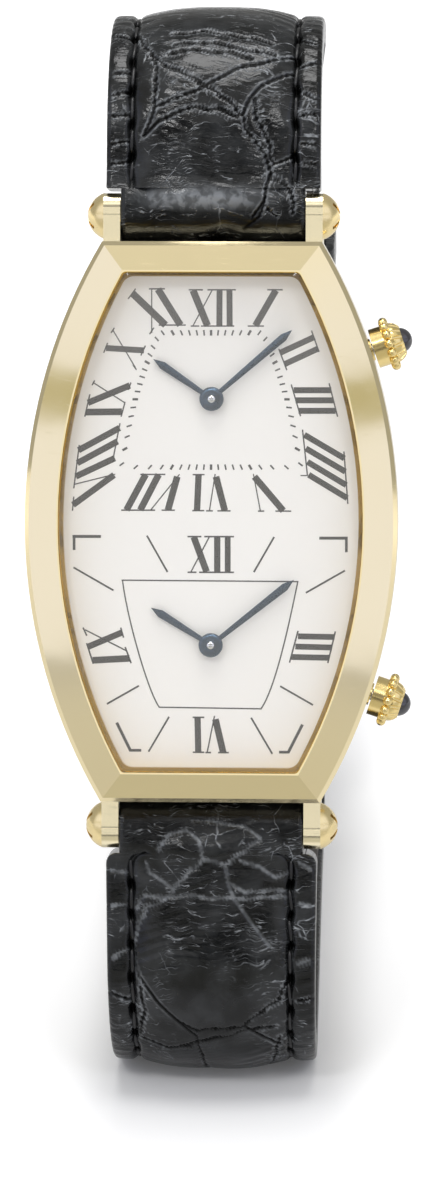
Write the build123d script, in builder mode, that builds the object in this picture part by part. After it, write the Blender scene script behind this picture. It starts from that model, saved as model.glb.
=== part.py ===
from build123d import *
import os
from math import asin, atan2, ceil, cos, degrees, hypot, pi, radians, sin, sqrt

# Tonneau wristwatch that shows two times: one barrel-shaped dial, two small hand-wound movements
# side by side under it, each with its own crown, and a padded two-piece strap with a pin buckle.
#
# The watch is drawn lying flat, in millimetres: x runs across the dial towards the crowns, y
# towards twelve o'clock and z out through the glass, with the middle of the dial's face at zero.
# The finished pieces are then stood up together, leaning back on the bend of the lower strap, with
# +Z up and the middle of the footprint at zero.

# Case outline: two straight ends joined by two bowed sides
case_length = 39.6
case_width = 26.35
case_end = 15.5
bezel_end_width = 2.15
bezel_side_width = 2.425
bezel_corner_width = 1.55
aperture_corner_radius = 0.4
rehaut_corner_radius = 0.9

# Bezel and glass, as heights over the dial's face
dial_air = 0.05
rehaut_width = 0.3
rehaut_height = 1.0
bezel_lip_width = 0.12
bezel_lip_height = 1.95
bezel_brow_height = 1.15
bezel_flank_height = 0.8
bezel_chamfer = 0.3
glass_thickness = 1.1
glass_chamfer = 0.22
glass_air = 0.04
glass_gasket_thickness = 0.12
glass_gasket_width = 0.28

# Dial and the stack of levels under it
dial_thickness = 0.4
motion_room = 0.5
plate_thickness = 0.7
train_room = 1.1
bridge_thickness = 0.35
winding_air = 0.05
winding_thickness = 0.18
back_air = 0.12
back_thickness = 1.0
cavity_air = 0.05

# Case band and back
band_wall = 2.2
back_inset = 0.35
back_chamfer_width = 0.5
back_chamfer_height = 0.4
groove_inset = 1.65
groove_width = 0.3
groove_depth = 0.25
gasket_air = 0.03
screw_inset = 0.95
screw_head_radius = 0.55
screw_head_height = 0.4
screw_shank_radius = 0.3
screw_shank_length = 0.9
screw_slot_width = 0.16
screw_slot_depth = 0.15
screw_air = 0.02
end_screw_offset = 4.5
side_screw_offset = 6.0

# Lugs, strap bars and the domed screws that hold them
lug_gap = 13.14
lug_thickness = 1.2
lug_radius = 1.6
lug_nose_share = 1.5
lug_nose_radius = 1.0
lug_root = 0.2
bar_offset = 1.85
bar_height = -2.2
bar_radius = 0.75
bar_air = 0.04
lug_screw_radius = 1.65
lug_screw_height = 1.2
lug_screw_shank_radius = 0.35
lug_screw_shank_length = 1.6
lug_screw_slot_width = 0.28
lug_screw_slot_depth = 0.5
lug_screw_slot_turns = (45, 135)

# Movements: the same round movement twice, each turned until its stem meets the case square
hub_offset = 8.7
stem_offset = 8.5
plate_radius = 7.6
pocket_air = 0.06
pillar_radius = 0.45
pillar_inset = 0.55
wheel_gap = 0.05
arbor_radius = 0.12
arbor_air = 0.04
arbor_reach = 0.25
tooth_height = 0.12
tooth_share = 0.45
wheel_thickness = 0.14

# Going train: radii of the wheels, and how many turns each gives the pinion that it drives
barrel_radius = 3.0
barrel_thickness = 0.65
barrel_shelf = 0.05
barrel_teeth = 36
barrel_angle = 75
center_radius = 2.6
center_teeth = 40
center_arbor_radius = 0.26
center_pinion_radius = 0.45
center_level = 0.76
third_radius = 2.0
third_teeth = 30
third_angle = 215
third_level = 0.1
third_ratio = 8
fourth_radius = 1.6
fourth_teeth = 30
fourth_angle = 260
fourth_ratio = 7.5
escape_radius = 1.1
escape_teeth = 15
escape_angle = -5
escape_level = 0.35
escape_ratio = 10
pinion_margin = 0.08

# Pallet fork, balance and hairspring
pallet_reach = 1.65
pallet_hub_radius = 0.24
pallet_width = 0.18
pallet_span = 1.2
balance_reach = 4.7
balance_angle = -47
balance_radius = 1.95
balance_rim = 0.32
balance_spoke = 0.22
balance_level = 0.6
balance_thickness = 0.2
roller_radius = 0.35
roller_thickness = 0.2
hairspring_inner = 0.3
hairspring_pitch = 0.26
hairspring_width = 0.06
hairspring_turns = 3.5
hairspring_level = 0.88
hairspring_height = 0.1
turn_steps = 12

# Bridges
cock_apex = 2.2
cock_start = -95
cock_end = -5
cock_gap = 0.15
train_pillar_angles = (20, 140, 200, 255)
cock_pillar_angles = (-80, -20)

# Winding work on top of the bridges, and motion work under the dial
ratchet_radius = 2.9
ratchet_teeth = 36
ratchet_arbor_radius = 0.4
crown_wheel_radius = 1.78
crown_wheel_teeth = 24
crown_wheel_bore = 0.4
crown_wheel_turn = -39.6
cannon_radius = 0.45
cannon_pipe_radius = 0.4
minute_ratio = 3
hour_ratio = 4
minute_wheel_angle = 180
motion_thickness = 0.1
motion_shelf = 0.03
hour_shelf = 0.24
motion_stud_radius = 0.12
hour_pipe_radius = 0.62
dial_hole_radius = 0.72

# Hands
hand_hub_radius = 0.85
hand_thickness = 0.12
hour_hand_length = 5.0
hour_hand_height = 0.22
hour_hand_angle = 55.9
minute_hand_length = 7.5
minute_hand_height = 0.5
minute_hand_angle = -49.3
lower_hour_hand_angle = 58.3
lower_minute_hand_angle = -51.6
hand_root_width = 0.3
hand_blade_width = 0.56
hand_point_length = 0.8
pin_height = 0.7

# Crowns and stems, as distances along the stem from the case's flank
tube_radius = 0.8
tube_reach = 0.1
tube_sunk = 1.9
stem_radius = 0.4
stem_air = 0.04
stem_inner_end = 4.4
stem_grip = 1.4
clutch_radius = 0.48
clutch_length = 0.9
crown_gap = 0.2
skirt_radius = 1.42
skirt_length = 0.83
bead_radius = 0.33
bead_ring_radius = 1.615
bead_count = 15
bead_core_radius = 1.5
cap_length = 0.67
cap_base_radius = 1.43
cap_tip_radius = 0.99
cap_bulge = 0.065
cap_flute_count = 15
cap_flute_radius = 0.13
cap_flute_out = 0.11
cabochon_radius = 0.87
cabochon_height = 0.66
cabochon_seat = 0.12
cabochon_air = 0.02

# Strap: padded leather over a lining, swept along a side view of straight runs and bends
strap_start_angle = 3
strap_shoulder = 1.9
strap_neck_air = 0.12
strap_loop_radius = 1.65
strap_bar_air = 0.1
upper_shoulder_cover = 1.03
lower_shoulder_cover = 0.93
upper_bend_width_share = 1.0
lower_bend_width_share = 0.97
back_width_share = 0.9
strap_end_width = 13.0
tip_width_share = 0.923
strap_half_thickness = 1.3
strap_bend_half_thickness = 1.2
strap_end_half_thickness = 1.0
strap_padding = 0.75
strap_back_padding = 0.5
strap_end_padding = 0.08
strap_flange = 1.9
lining_thickness = 0.6
lining_inset = 0.35
glue_line = 0.03
upper_shoulder_run = 3.65
upper_bend_radius = 8.2
upper_bend_turn = 100
upper_back_run = 12.0
upper_knee_radius = 14.0
upper_knee_turn = 50
upper_tail_run = 20.0
lower_shoulder_run = 7.15
lower_bend_radius = 7.7
lower_foot_run = 30.0
lower_curl_radius = 25.0
lower_curl_turn = 60
lower_tail_run = 15.0
foot_press = 0.4
tip_point_length = 5.0
buckle_hole_radius = 0.75
buckle_hole_count = 6
buckle_hole_pitch = 3.2
buckle_hole_start = 9.0

# Keepers and pin buckle, drawn along the straight end of the upper strap
keeper_width = 3.0
keeper_thickness = 0.9
keeper_room = 2.4
fixed_keeper_air = 0.1
free_keeper_air = 0.3
fixed_keeper_place = 5.5
free_keeper_place = 14.0
buckle_bar_radius = 0.55
buckle_air = 0.05
buckle_loop_radius = 1.1
buckle_side_air = 0.3
buckle_arm_width = 1.4
buckle_thickness = 1.5
buckle_far_bar = 1.5
buckle_length = 8.4
buckle_corner = 1.2
tongue_width = 1.5
tongue_thickness = 0.6
tongue_eye_radius = 1.45
tongue_overhang = 0.5
tongue_air = 0.05
tongue_slot_air = 0.4

# How the watch stands
lean = 18

# One overrun for every cut that has to pass right through
overrun = 0.5

# Levels that follow from the stack, measured from the dial's face
dial_bottom = -dial_thickness
plate_top = dial_bottom - motion_room
plate_bottom = plate_top - plate_thickness
bridge_top = plate_bottom - train_room
bridge_bottom = bridge_top - bridge_thickness
winding_top = bridge_bottom - winding_air
winding_bottom = winding_top - winding_thickness
back_top = winding_bottom - back_air
back_bottom = back_top - back_thickness
stem_level = (plate_bottom + bridge_top) / 2
glass_bottom = rehaut_height + glass_gasket_thickness
glass_top = glass_bottom + glass_thickness

case_shape = (case_length / 2, case_width / 2, case_end / 2)
aperture_shape = (
    case_shape[0] - bezel_end_width,
    case_shape[1] - bezel_side_width,
    case_shape[2] - bezel_corner_width,
)


def bow_of(shape):
    """Centre and radius of a barrel's right side, an arc about a point on the x axis."""
    half_length, half_width, half_end = shape
    sagitta = half_width - half_end
    radius = (sagitta**2 + half_length**2) / (2 * sagitta)
    return half_width - radius, radius


def inset(shape, wall):
    """The barrel that lies a wall's width inside another one."""
    centre, radius = bow_of(shape)
    half_length = shape[0] - wall
    return half_length, shape[1] - wall, centre + sqrt((radius - wall) ** 2 - half_length**2)


def side_of(shape, y):
    """Where a barrel's right side stands at a height along the dial."""
    centre, radius = bow_of(shape)
    return centre + sqrt(radius**2 - y**2)


def barrel(shape, level, corner=0):
    """Outline of a barrel at a level, with its four corners rounded if a radius is given."""
    half_length, half_width, half_end = shape
    with BuildSketch(Plane.XY.offset(level)) as outline:
        with BuildLine():
            right = ThreePointArc((half_end, -half_length), (half_width, 0), (half_end, half_length))
            top = Line(right @ 1, (-half_end, half_length))
            left = ThreePointArc(top @ 1, (-half_width, 0), (-half_end, -half_length))
            Line(left @ 1, right @ 0)
        make_face()
        if corner:
            fillet(outline.vertices(), corner)
    return outline.sketch


def layer(shape, low, high, mode=Mode.ADD, corner=0):
    """A slab of barrel outline between two levels, in the piece that is being built."""
    extrude(barrel(shape, low, corner), amount=high - low, dir=(0, 0, 1), mode=mode)


def beside(spot, reach, angle):
    """The point at a reach from a spot, in a direction in degrees."""
    return spot[0] + reach * cos(radians(angle)), spot[1] + reach * sin(radians(angle))


def rounds(plane, spots, radius, low, high, mode=Mode.ADD):
    """Round slabs about some spots of a plane, between two levels."""
    with BuildSketch(plane.offset(low)) as outline:
        with Locations(*spots):
            Circle(radius)
    extrude(outline.sketch, amount=high - low, dir=plane.z_dir, mode=mode)


def strip(plane, spot, angle, length, width, low, high, mode=Mode.ADD):
    """A straight strip that starts at a spot and runs off at an angle."""
    with BuildSketch(plane.offset(low)) as outline:
        with Locations(Location((*spot, 0), (0, 0, angle))):
            Rectangle(length, width, align=(Align.MIN, Align.CENTER))
    extrude(outline.sketch, amount=high - low, dir=plane.z_dir, mode=mode)


def toothed(plane, spot, radius, teeth, low, high):
    """A toothed disc whose teeth end on its radius."""
    pitch = 2 * pi * radius / teeth
    with BuildSketch(plane.offset(low)) as outline:
        with Locations(spot):
            Circle(radius - tooth_height)
            with PolarLocations(radius - tooth_height, teeth):
                Rectangle(2 * tooth_height, pitch * tooth_share)
    extrude(outline.sketch, amount=high - low, dir=plane.z_dir)


def dome(plane, spots, radius, height):
    """Caps of a ball, standing on a plane about some of its spots."""
    ball = (radius**2 + height**2) / (2 * height)
    half = asin(radius / ball) / 2
    with BuildSketch(Plane.XZ) as profile:
        with BuildLine():
            Line((0, 0), (radius, 0))
            ThreePointArc(
                (radius, 0),
                (ball * sin(half), height - ball + ball * cos(half)),
                (0, height),
            )
            Line((0, height), (0, 0))
        make_face()
    cap = revolve(profile.sketch, axis=Axis.Z, mode=Mode.PRIVATE)
    for spot in spots:
        add(cap.moved(plane.location * Location((*spot, 0))))


def swelling(plane, base, tip, height, bulge):
    """A turned cap on a plane, with a side that swells outwards between its base and its tip."""
    with BuildSketch(Plane.XZ) as profile:
        with BuildLine():
            Line((0, 0), (base, 0))
            ThreePointArc(
                (base, 0),
                ((base + tip) / 2 + bulge, height / 2 + bulge),
                (tip, height),
            )
            Line((tip, height), (0, height))
            Line((0, height), (0, 0))
        make_face()
    cap = revolve(profile.sketch, axis=Axis.Z, mode=Mode.PRIVATE)
    add(cap.moved(plane.location))


pieces = []
pivots = {}


def keep(piece, name):
    """Label a finished piece, and keep it until the watch is stood up."""
    piece.part.label = name
    pieces.append(piece.part)


# Case band, with four lugs, holes for the bars, tubes and screws, and a groove for the gasket
cavity_shape = inset(case_shape, band_wall)
bar_reach = case_shape[0] + bar_offset
lug_face = lug_gap / 2 + lug_thickness
bow_centre, bow_radius = bow_of(case_shape)
crown_angle = degrees(atan2(stem_offset, -bow_centre))
flank = bow_radius - hypot(bow_centre, stem_offset)


def towards_crown(end, offset):
    """Plane of one movement or stem: x towards its crown, from a point on the dial's centre line."""
    return Plane(
        origin=(0, end * offset, 0),
        x_dir=(cos(radians(crown_angle)), end * sin(radians(crown_angle)), 0),
        z_dir=(0, 0, 1),
    )


hubs = {"upper": towards_crown(1, hub_offset), "lower": towards_crown(-1, hub_offset)}
stem_lines = {"upper": towards_crown(1, stem_offset), "lower": towards_crown(-1, stem_offset)}


def stem_plane(line, distance):
    """Plane square to a stem, at a distance from the dial's centre line."""
    origin = line.from_local_coords((distance, 0, stem_level))
    return Plane(origin=origin, x_dir=line.z_dir, z_dir=line.x_dir)


screw_shape = inset(case_shape, screw_inset)
side_screw_x = side_of(screw_shape, side_screw_offset)
screw_spots = [
    (x * across, y * along)
    for x, y in ((end_screw_offset, screw_shape[0]), (side_screw_x, side_screw_offset))
    for across in (-1, 1)
    for along in (-1, 1)
]

with BuildPart() as groove:
    layer(inset(case_shape, groove_inset), back_top - overrun, back_top + groove_depth)
    layer(
        inset(case_shape, groove_inset + groove_width),
        back_top - overrun,
        back_top + groove_depth,
        Mode.SUBTRACT,
    )

with BuildPart() as case_band:
    layer(case_shape, back_top, dial_air)
    for side in (-1, 1):
        for end in (-1, 1):
            with BuildSketch(Plane.YZ.offset(side * (lug_gap + lug_thickness) / 2)) as lug_side:
                with Locations((end * bar_reach, bar_height)):
                    Circle(lug_radius)
                with Locations((end * (bar_reach + case_shape[0] - lug_root) / 2, bar_height)):
                    Rectangle(bar_offset + lug_root, 2 * lug_radius)
                nose = lug_nose_share * lug_radius
                nose_middle = lug_radius - nose / 2
                with Locations((end * (bar_reach + nose_middle), bar_height + nose_middle)):
                    RectangleRounded(nose, nose, lug_nose_radius)
            extrude(lug_side.sketch, amount=lug_thickness / 2, both=True)
    layer(cavity_shape, back_top - overrun, dial_air + overrun, Mode.SUBTRACT)
    add(groove.part, mode=Mode.SUBTRACT)
    rounds(
        Plane.YZ,
        [(bar_reach, bar_height), (-bar_reach, bar_height)],
        bar_radius + bar_air,
        -lug_face - overrun,
        lug_face + overrun,
        Mode.SUBTRACT,
    )
    rounds(
        Plane.XY,
        screw_spots,
        screw_shank_radius + screw_air,
        back_top - overrun,
        back_top + screw_shank_length,
        Mode.SUBTRACT,
    )
    for line in stem_lines.values():
        rounds(
            stem_plane(line, flank),
            [(0, 0)],
            tube_radius + screw_air,
            -band_wall - overrun,
            overrun,
            Mode.SUBTRACT,
        )
keep(case_band, "case_band")

# Bezel: faceted frame with a stepped opening that holds the glass over the dial
rehaut_shape = inset(aperture_shape, rehaut_width)
with BuildPart() as bezel:
    loft(
        [
            barrel(case_shape, dial_air),
            barrel(case_shape, bezel_flank_height),
            barrel(inset(case_shape, bezel_chamfer), bezel_brow_height),
            barrel(inset(aperture_shape, -bezel_lip_width), bezel_lip_height),
        ],
        ruled=True,
    )
    layer(rehaut_shape, dial_air - overrun, bezel_lip_height, Mode.SUBTRACT, rehaut_corner_radius)
    layer(
        aperture_shape,
        rehaut_height,
        bezel_lip_height + overrun,
        Mode.SUBTRACT,
        aperture_corner_radius,
    )
keep(bezel, "bezel")

# Glass with a polished chamfer
glass_shape = inset(aperture_shape, glass_air)
with BuildPart() as crystal:
    loft(
        [
            barrel(glass_shape, glass_bottom, aperture_corner_radius),
            barrel(glass_shape, glass_top - glass_chamfer, aperture_corner_radius),
            barrel(inset(glass_shape, glass_chamfer), glass_top, aperture_corner_radius),
        ],
        ruled=True,
    )
keep(crystal, "crystal")

# Gaskets: one under the glass and one between the band and the back
gasket_shape = inset(case_shape, groove_inset + gasket_air)
with BuildPart() as case_gaskets:
    layer(glass_shape, rehaut_height, glass_bottom, Mode.ADD, aperture_corner_radius)
    layer(
        inset(glass_shape, glass_gasket_width),
        rehaut_height - overrun,
        glass_bottom + overrun,
        Mode.SUBTRACT,
        rehaut_corner_radius,
    )
with BuildPart() as back_gasket:
    layer(gasket_shape, back_top, back_top + groove_depth - gasket_air)
    layer(
        inset(gasket_shape, groove_width - 2 * gasket_air),
        back_top - overrun,
        back_top + groove_depth + overrun,
        Mode.SUBTRACT,
    )
with BuildPart() as both_gaskets:
    add(case_gaskets.part)
    add(back_gasket.part)
keep(both_gaskets, "case_gaskets")

# Dial, with a hole over each hub
dial_shape = inset(cavity_shape, cavity_air)
with BuildPart() as dial:
    layer(dial_shape, dial_bottom, 0)
    rounds(
        Plane.XY,
        [(0, hub_offset), (0, -hub_offset)],
        dial_hole_radius,
        dial_bottom - overrun,
        overrun,
        Mode.SUBTRACT,
    )
keep(dial, "dial")

# Holder that fills the cavity round both movements and carries the dial
with BuildPart() as movement_holder:
    layer(dial_shape, back_top, dial_bottom)
    rounds(
        Plane.XY,
        [(0, hub_offset), (0, -hub_offset)],
        plate_radius + pocket_air,
        back_top - overrun,
        dial_bottom + overrun,
        Mode.SUBTRACT,
    )
    for line in stem_lines.values():
        rounds(
            stem_plane(line, plate_radius),
            [(0, 0)],
            tube_radius,
            -overrun,
            flank,
            Mode.SUBTRACT,
        )
keep(movement_holder, "movement_holder")

# Back, with a chamfered edge and a sunk seat for each screw
back_shape = inset(case_shape, back_inset)
with BuildPart() as case_back:
    loft(
        [
            barrel(inset(back_shape, back_chamfer_width), back_bottom),
            barrel(back_shape, back_bottom + back_chamfer_height),
            barrel(back_shape, back_top),
        ],
        ruled=True,
    )
    rounds(
        Plane.XY,
        screw_spots,
        screw_shank_radius + screw_air,
        back_bottom - overrun,
        back_top + overrun,
        Mode.SUBTRACT,
    )
    rounds(
        Plane.XY,
        screw_spots,
        screw_head_radius + screw_air,
        back_bottom - overrun,
        back_bottom + screw_head_height,
        Mode.SUBTRACT,
    )
keep(case_back, "case_back")

with BuildPart() as back_screws:
    rounds(
        Plane.XY,
        screw_spots,
        screw_head_radius,
        back_bottom,
        back_bottom + screw_head_height,
    )
    rounds(
        Plane.XY,
        screw_spots,
        screw_shank_radius,
        back_bottom + screw_head_height,
        back_top + screw_shank_length - screw_air,
    )
    for spot in screw_spots:
        start = (spot[0] - screw_head_radius, spot[1])
        strip(
            Plane.XY,
            start,
            0,
            2 * screw_head_radius,
            screw_slot_width,
            back_bottom - overrun,
            back_bottom + screw_slot_depth,
            Mode.SUBTRACT,
        )
keep(back_screws, "back_screws")

# Strap bars through the lugs, drilled at both ends for their screws
bar_spots = [(bar_reach, bar_height), (-bar_reach, bar_height)]
with BuildPart() as strap_bars:
    rounds(Plane.YZ, bar_spots, bar_radius, -lug_face, lug_face)
    for side in (-1, 1):
        rounds(
            Plane.YZ.offset(side * lug_face),
            bar_spots,
            lug_screw_shank_radius + screw_air,
            -lug_screw_shank_length - screw_air,
            lug_screw_shank_length + screw_air,
            Mode.SUBTRACT,
        )
keep(strap_bars, "strap_bars")

# Domed lug screws, with a slot across each head and a shank in the end of its bar
lug_screw_planes = [
    Plane(origin=(side * lug_face, y, z), x_dir=(0, 1, 0), z_dir=(side, 0, 0))
    for side in (-1, 1)
    for y, z in bar_spots
]
with BuildPart() as lug_screws:
    for plane in lug_screw_planes:
        dome(plane, [(0, 0)], lug_screw_radius, lug_screw_height)
        rounds(plane, [(0, 0)], lug_screw_shank_radius, -lug_screw_shank_length, 0)
        for turn in lug_screw_slot_turns:
            slot = Location((0, 0, 0), (0, 0, turn))
            with BuildSketch(Plane(plane.location * slot).offset(lug_screw_height)) as groove:
                Rectangle(2 * lug_screw_radius, lug_screw_slot_width)
            extrude(groove.sketch, amount=lug_screw_slot_depth, both=True, mode=Mode.SUBTRACT)
keep(lug_screws, "lug_screws")

# Crown tubes, pressed through the band
with BuildPart() as crown_tubes:
    for line in stem_lines.values():
        plane = stem_plane(line, flank)
        rounds(plane, [(0, 0)], tube_radius, -tube_sunk, tube_reach)
        rounds(
            plane,
            [(0, 0)],
            stem_radius + stem_air,
            -tube_sunk - overrun,
            tube_reach + overrun,
            Mode.SUBTRACT,
        )
keep(crown_tubes, "crown_tubes")


def winder(prefix, line):
    """One stem and its crown: plain skirt, ring of beads, fluted cap and a domed stone."""
    skirt_start = flank + crown_gap
    bead_start = skirt_start + skirt_length
    cap_start = bead_start + 2 * bead_radius
    cap_end = cap_start + cap_length
    stem_end = skirt_start + stem_grip
    at_zero = stem_plane(line, 0)
    with BuildPart() as stem:
        rounds(at_zero, [(0, 0)], stem_radius, stem_inner_end, stem_end)
        rounds(at_zero, [(0, 0)], clutch_radius, stem_inner_end, stem_inner_end + clutch_length)
    keep(stem, f"{prefix}_stem")

    with BuildPart() as crown:
        rounds(at_zero, [(0, 0)], skirt_radius, skirt_start, bead_start)
        rounds(at_zero, [(0, 0)], bead_core_radius, bead_start, cap_start)
        swelling(
            stem_plane(line, cap_start),
            cap_base_radius,
            cap_tip_radius,
            cap_length,
            cap_bulge,
        )
        with Locations(stem_plane(line, bead_start + bead_radius)):
            with PolarLocations(bead_ring_radius, bead_count):
                Sphere(bead_radius)
        slope = degrees(atan2(cap_base_radius - cap_tip_radius, cap_length))
        with Locations(stem_plane(line, cap_start)):
            with PolarLocations(
                cap_base_radius + cap_flute_out,
                cap_flute_count,
                start_angle=degrees(pi / cap_flute_count),
            ):
                Cylinder(
                    cap_flute_radius,
                    cap_length / cos(radians(slope)) + overrun,
                    rotation=(0, -slope, 0),
                    align=(Align.CENTER, Align.CENTER, Align.MIN),
                    mode=Mode.SUBTRACT,
                )
        rounds(
            at_zero,
            [(0, 0)],
            stem_radius + stem_air,
            skirt_start - overrun,
            stem_end + stem_air,
            Mode.SUBTRACT,
        )
        rounds(
            at_zero,
            [(0, 0)],
            cabochon_radius + cabochon_air,
            cap_end - cabochon_seat,
            cap_end + overrun,
            Mode.SUBTRACT,
        )
    keep(crown, f"{prefix}_crown")

    seat = cap_end - cabochon_seat
    with BuildPart() as cabochon:
        rounds(at_zero, [(0, 0)], cabochon_radius, seat, cap_end)
        dome(stem_plane(line, cap_end), [(0, 0)], cabochon_radius, cabochon_height)
    keep(cabochon, f"{prefix}_cabochon")
    pivots[f"{prefix}_stem"] = (line.from_local_coords((flank, 0, stem_level)), line.x_dir)


for prefix, line in stem_lines.items():
    winder(prefix, line)


def train_level(depth):
    """Level at a depth under the main plate's back."""
    return plate_bottom - depth


def pinned(hub, spot, low=bridge_top - arbor_reach, high=plate_bottom + arbor_reach):
    """The arbor of a train wheel, from its hole in the plate to its hole in the bridge."""
    rounds(hub, [spot], arbor_radius, low, high)


def movement(prefix, hub):
    """One movement about its hub, with its stem along the hub plane's x direction."""
    middle = (0, 0)
    center_pinion = center_pinion_radius
    third_pinion = center_radius / third_ratio
    fourth_pinion = third_radius / fourth_ratio
    escape_pinion = fourth_radius / escape_ratio
    barrel_spot = beside(middle, barrel_radius + center_pinion + wheel_gap, barrel_angle)
    third_spot = beside(middle, center_radius + third_pinion + wheel_gap, third_angle)
    fourth_spot = beside(third_spot, third_radius + fourth_pinion + wheel_gap, fourth_angle)
    escape_spot = beside(fourth_spot, fourth_radius + escape_pinion + wheel_gap, escape_angle)
    balance_spot = beside(middle, balance_reach, balance_angle)
    fork_angle = degrees(
        atan2(balance_spot[1] - escape_spot[1], balance_spot[0] - escape_spot[0])
    )
    fork_spot = beside(escape_spot, pallet_reach, fork_angle)
    fork_length = hypot(balance_spot[0] - fork_spot[0], balance_spot[1] - fork_spot[1])
    minute_reach = cannon_radius * (1 + minute_ratio) + wheel_gap
    minute_pinion = (minute_reach - wheel_gap) / (1 + hour_ratio)
    minute_spot = beside(middle, minute_reach, minute_wheel_angle)
    crown_spot = beside(barrel_spot, ratchet_radius + crown_wheel_radius + wheel_gap, crown_wheel_turn)
    arbor_spots = [third_spot, fourth_spot, escape_spot, fork_spot]
    pillar_ring = plate_radius - pillar_inset
    center_low = train_level(center_level + wheel_thickness)
    center_high = train_level(center_level)
    third_low = train_level(third_level + wheel_thickness)
    third_high = train_level(third_level)
    escape_low = train_level(escape_level + wheel_thickness)
    escape_high = train_level(escape_level)

    with BuildPart() as mainplate:
        rounds(hub, [middle], plate_radius, plate_bottom, plate_top)
        rounds(
            hub,
            [middle],
            center_arbor_radius + arbor_air,
            plate_bottom - overrun,
            plate_top + overrun,
            Mode.SUBTRACT,
        )
        rounds(
            hub,
            [*arbor_spots, balance_spot],
            arbor_radius + arbor_air,
            plate_bottom - overrun,
            plate_bottom + arbor_reach + arbor_air,
            Mode.SUBTRACT,
        )
        rounds(hub, [minute_spot], motion_stud_radius, plate_top, dial_bottom - motion_shelf)
    keep(mainplate, f"{prefix}_mainplate")

    def wedge(apex):
        """Sector between the cock's two edges, from its apex to past the plate's rim."""
        reach = 2 * plate_radius
        bisector = (cock_start + cock_end) / 2
        tip = beside(middle, apex, bisector)
        with BuildSketch(hub.offset(bridge_bottom - overrun)) as outline:
            Polygon(
                tip,
                beside(tip, reach, cock_start),
                beside(tip, reach, bisector),
                beside(tip, reach, cock_end),
                align=None,
            )
        return outline.sketch

    with BuildPart() as train_bridge:
        rounds(hub, [middle], plate_radius, bridge_bottom, bridge_top)
        extrude(
            wedge(cock_apex),
            amount=bridge_thickness + 2 * overrun,
            dir=hub.z_dir,
            mode=Mode.SUBTRACT,
        )
        pillar_spots = [beside(middle, pillar_ring, angle) for angle in train_pillar_angles]
        rounds(hub, pillar_spots, pillar_radius, bridge_top, plate_bottom)
        rounds(
            hub,
            arbor_spots,
            arbor_radius + arbor_air,
            bridge_top - arbor_reach - arbor_air,
            bridge_top + overrun,
            Mode.SUBTRACT,
        )
        rounds(
            hub,
            [middle],
            center_arbor_radius + arbor_air,
            bridge_top - arbor_reach - arbor_air,
            bridge_top + overrun,
            Mode.SUBTRACT,
        )
        rounds(
            hub,
            [barrel_spot],
            ratchet_arbor_radius + arbor_air,
            bridge_bottom - overrun,
            bridge_top + overrun,
            Mode.SUBTRACT,
        )
        rounds(hub, [crown_spot], crown_wheel_bore - arbor_air, winding_bottom, bridge_bottom)
    keep(train_bridge, f"{prefix}_train_bridge")

    with BuildPart() as balance_cock:
        rounds(hub, [middle], plate_radius, bridge_bottom, bridge_top)
        half_turn = radians((cock_end - cock_start) / 2)
        extrude(
            wedge(cock_apex + cock_gap / sin(half_turn)),
            amount=bridge_thickness + 2 * overrun,
            dir=hub.z_dir,
            mode=Mode.INTERSECT,
        )
        pillar_spots = [beside(middle, pillar_ring, angle) for angle in cock_pillar_angles]
        rounds(hub, pillar_spots, pillar_radius, bridge_top, plate_bottom)
        rounds(
            hub,
            [balance_spot],
            arbor_radius + arbor_air,
            bridge_top - arbor_reach - arbor_air,
            bridge_top + overrun,
            Mode.SUBTRACT,
        )
    keep(balance_cock, f"{prefix}_balance_cock")

    with BuildPart() as mainspring_barrel:
        barrel_high = train_level(barrel_shelf)
        toothed(hub, barrel_spot, barrel_radius, barrel_teeth, barrel_high - wheel_thickness, barrel_high)
        rounds(
            hub,
            [barrel_spot],
            barrel_radius - 2 * tooth_height,
            barrel_high - barrel_thickness,
            barrel_high,
        )
        rounds(
            hub,
            [barrel_spot],
            ratchet_arbor_radius + arbor_air,
            barrel_high - barrel_thickness - overrun,
            barrel_high + overrun,
            Mode.SUBTRACT,
        )
    keep(mainspring_barrel, f"{prefix}_barrel")

    with BuildPart() as ratchet_wheel:
        toothed(hub, barrel_spot, ratchet_radius, ratchet_teeth, winding_bottom, winding_top)
        rounds(hub, [barrel_spot], ratchet_arbor_radius, winding_top, train_level(barrel_shelf))
    keep(ratchet_wheel, f"{prefix}_ratchet_wheel")

    with BuildPart() as crown_wheel:
        toothed(hub, crown_spot, crown_wheel_radius, crown_wheel_teeth, winding_bottom, winding_top)
        rounds(
            hub,
            [crown_spot],
            crown_wheel_bore,
            winding_bottom - overrun,
            winding_top + overrun,
            Mode.SUBTRACT,
        )
    keep(crown_wheel, f"{prefix}_crown_wheel")

    with BuildPart() as center_wheel:
        toothed(hub, middle, center_radius, center_teeth, center_low, center_high)
        rounds(hub, [middle], center_pinion, center_high, train_level(barrel_shelf))
        rounds(hub, [middle], center_arbor_radius, bridge_top - arbor_reach, pin_height)
    keep(center_wheel, f"{prefix}_center_wheel")

    with BuildPart() as third_wheel:
        toothed(hub, third_spot, third_radius, third_teeth, third_low, third_high)
        rounds(
            hub,
            [third_spot],
            third_pinion,
            center_low - pinion_margin / 2,
            center_high + pinion_margin,
        )
        pinned(hub, third_spot)
    keep(third_wheel, f"{prefix}_third_wheel")

    with BuildPart() as fourth_wheel:
        toothed(hub, fourth_spot, fourth_radius, fourth_teeth, center_low, center_high)
        rounds(
            hub,
            [fourth_spot],
            fourth_pinion,
            third_low - pinion_margin,
            third_high + pinion_margin / 2,
        )
        pinned(hub, fourth_spot)
    keep(fourth_wheel, f"{prefix}_fourth_wheel")

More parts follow.
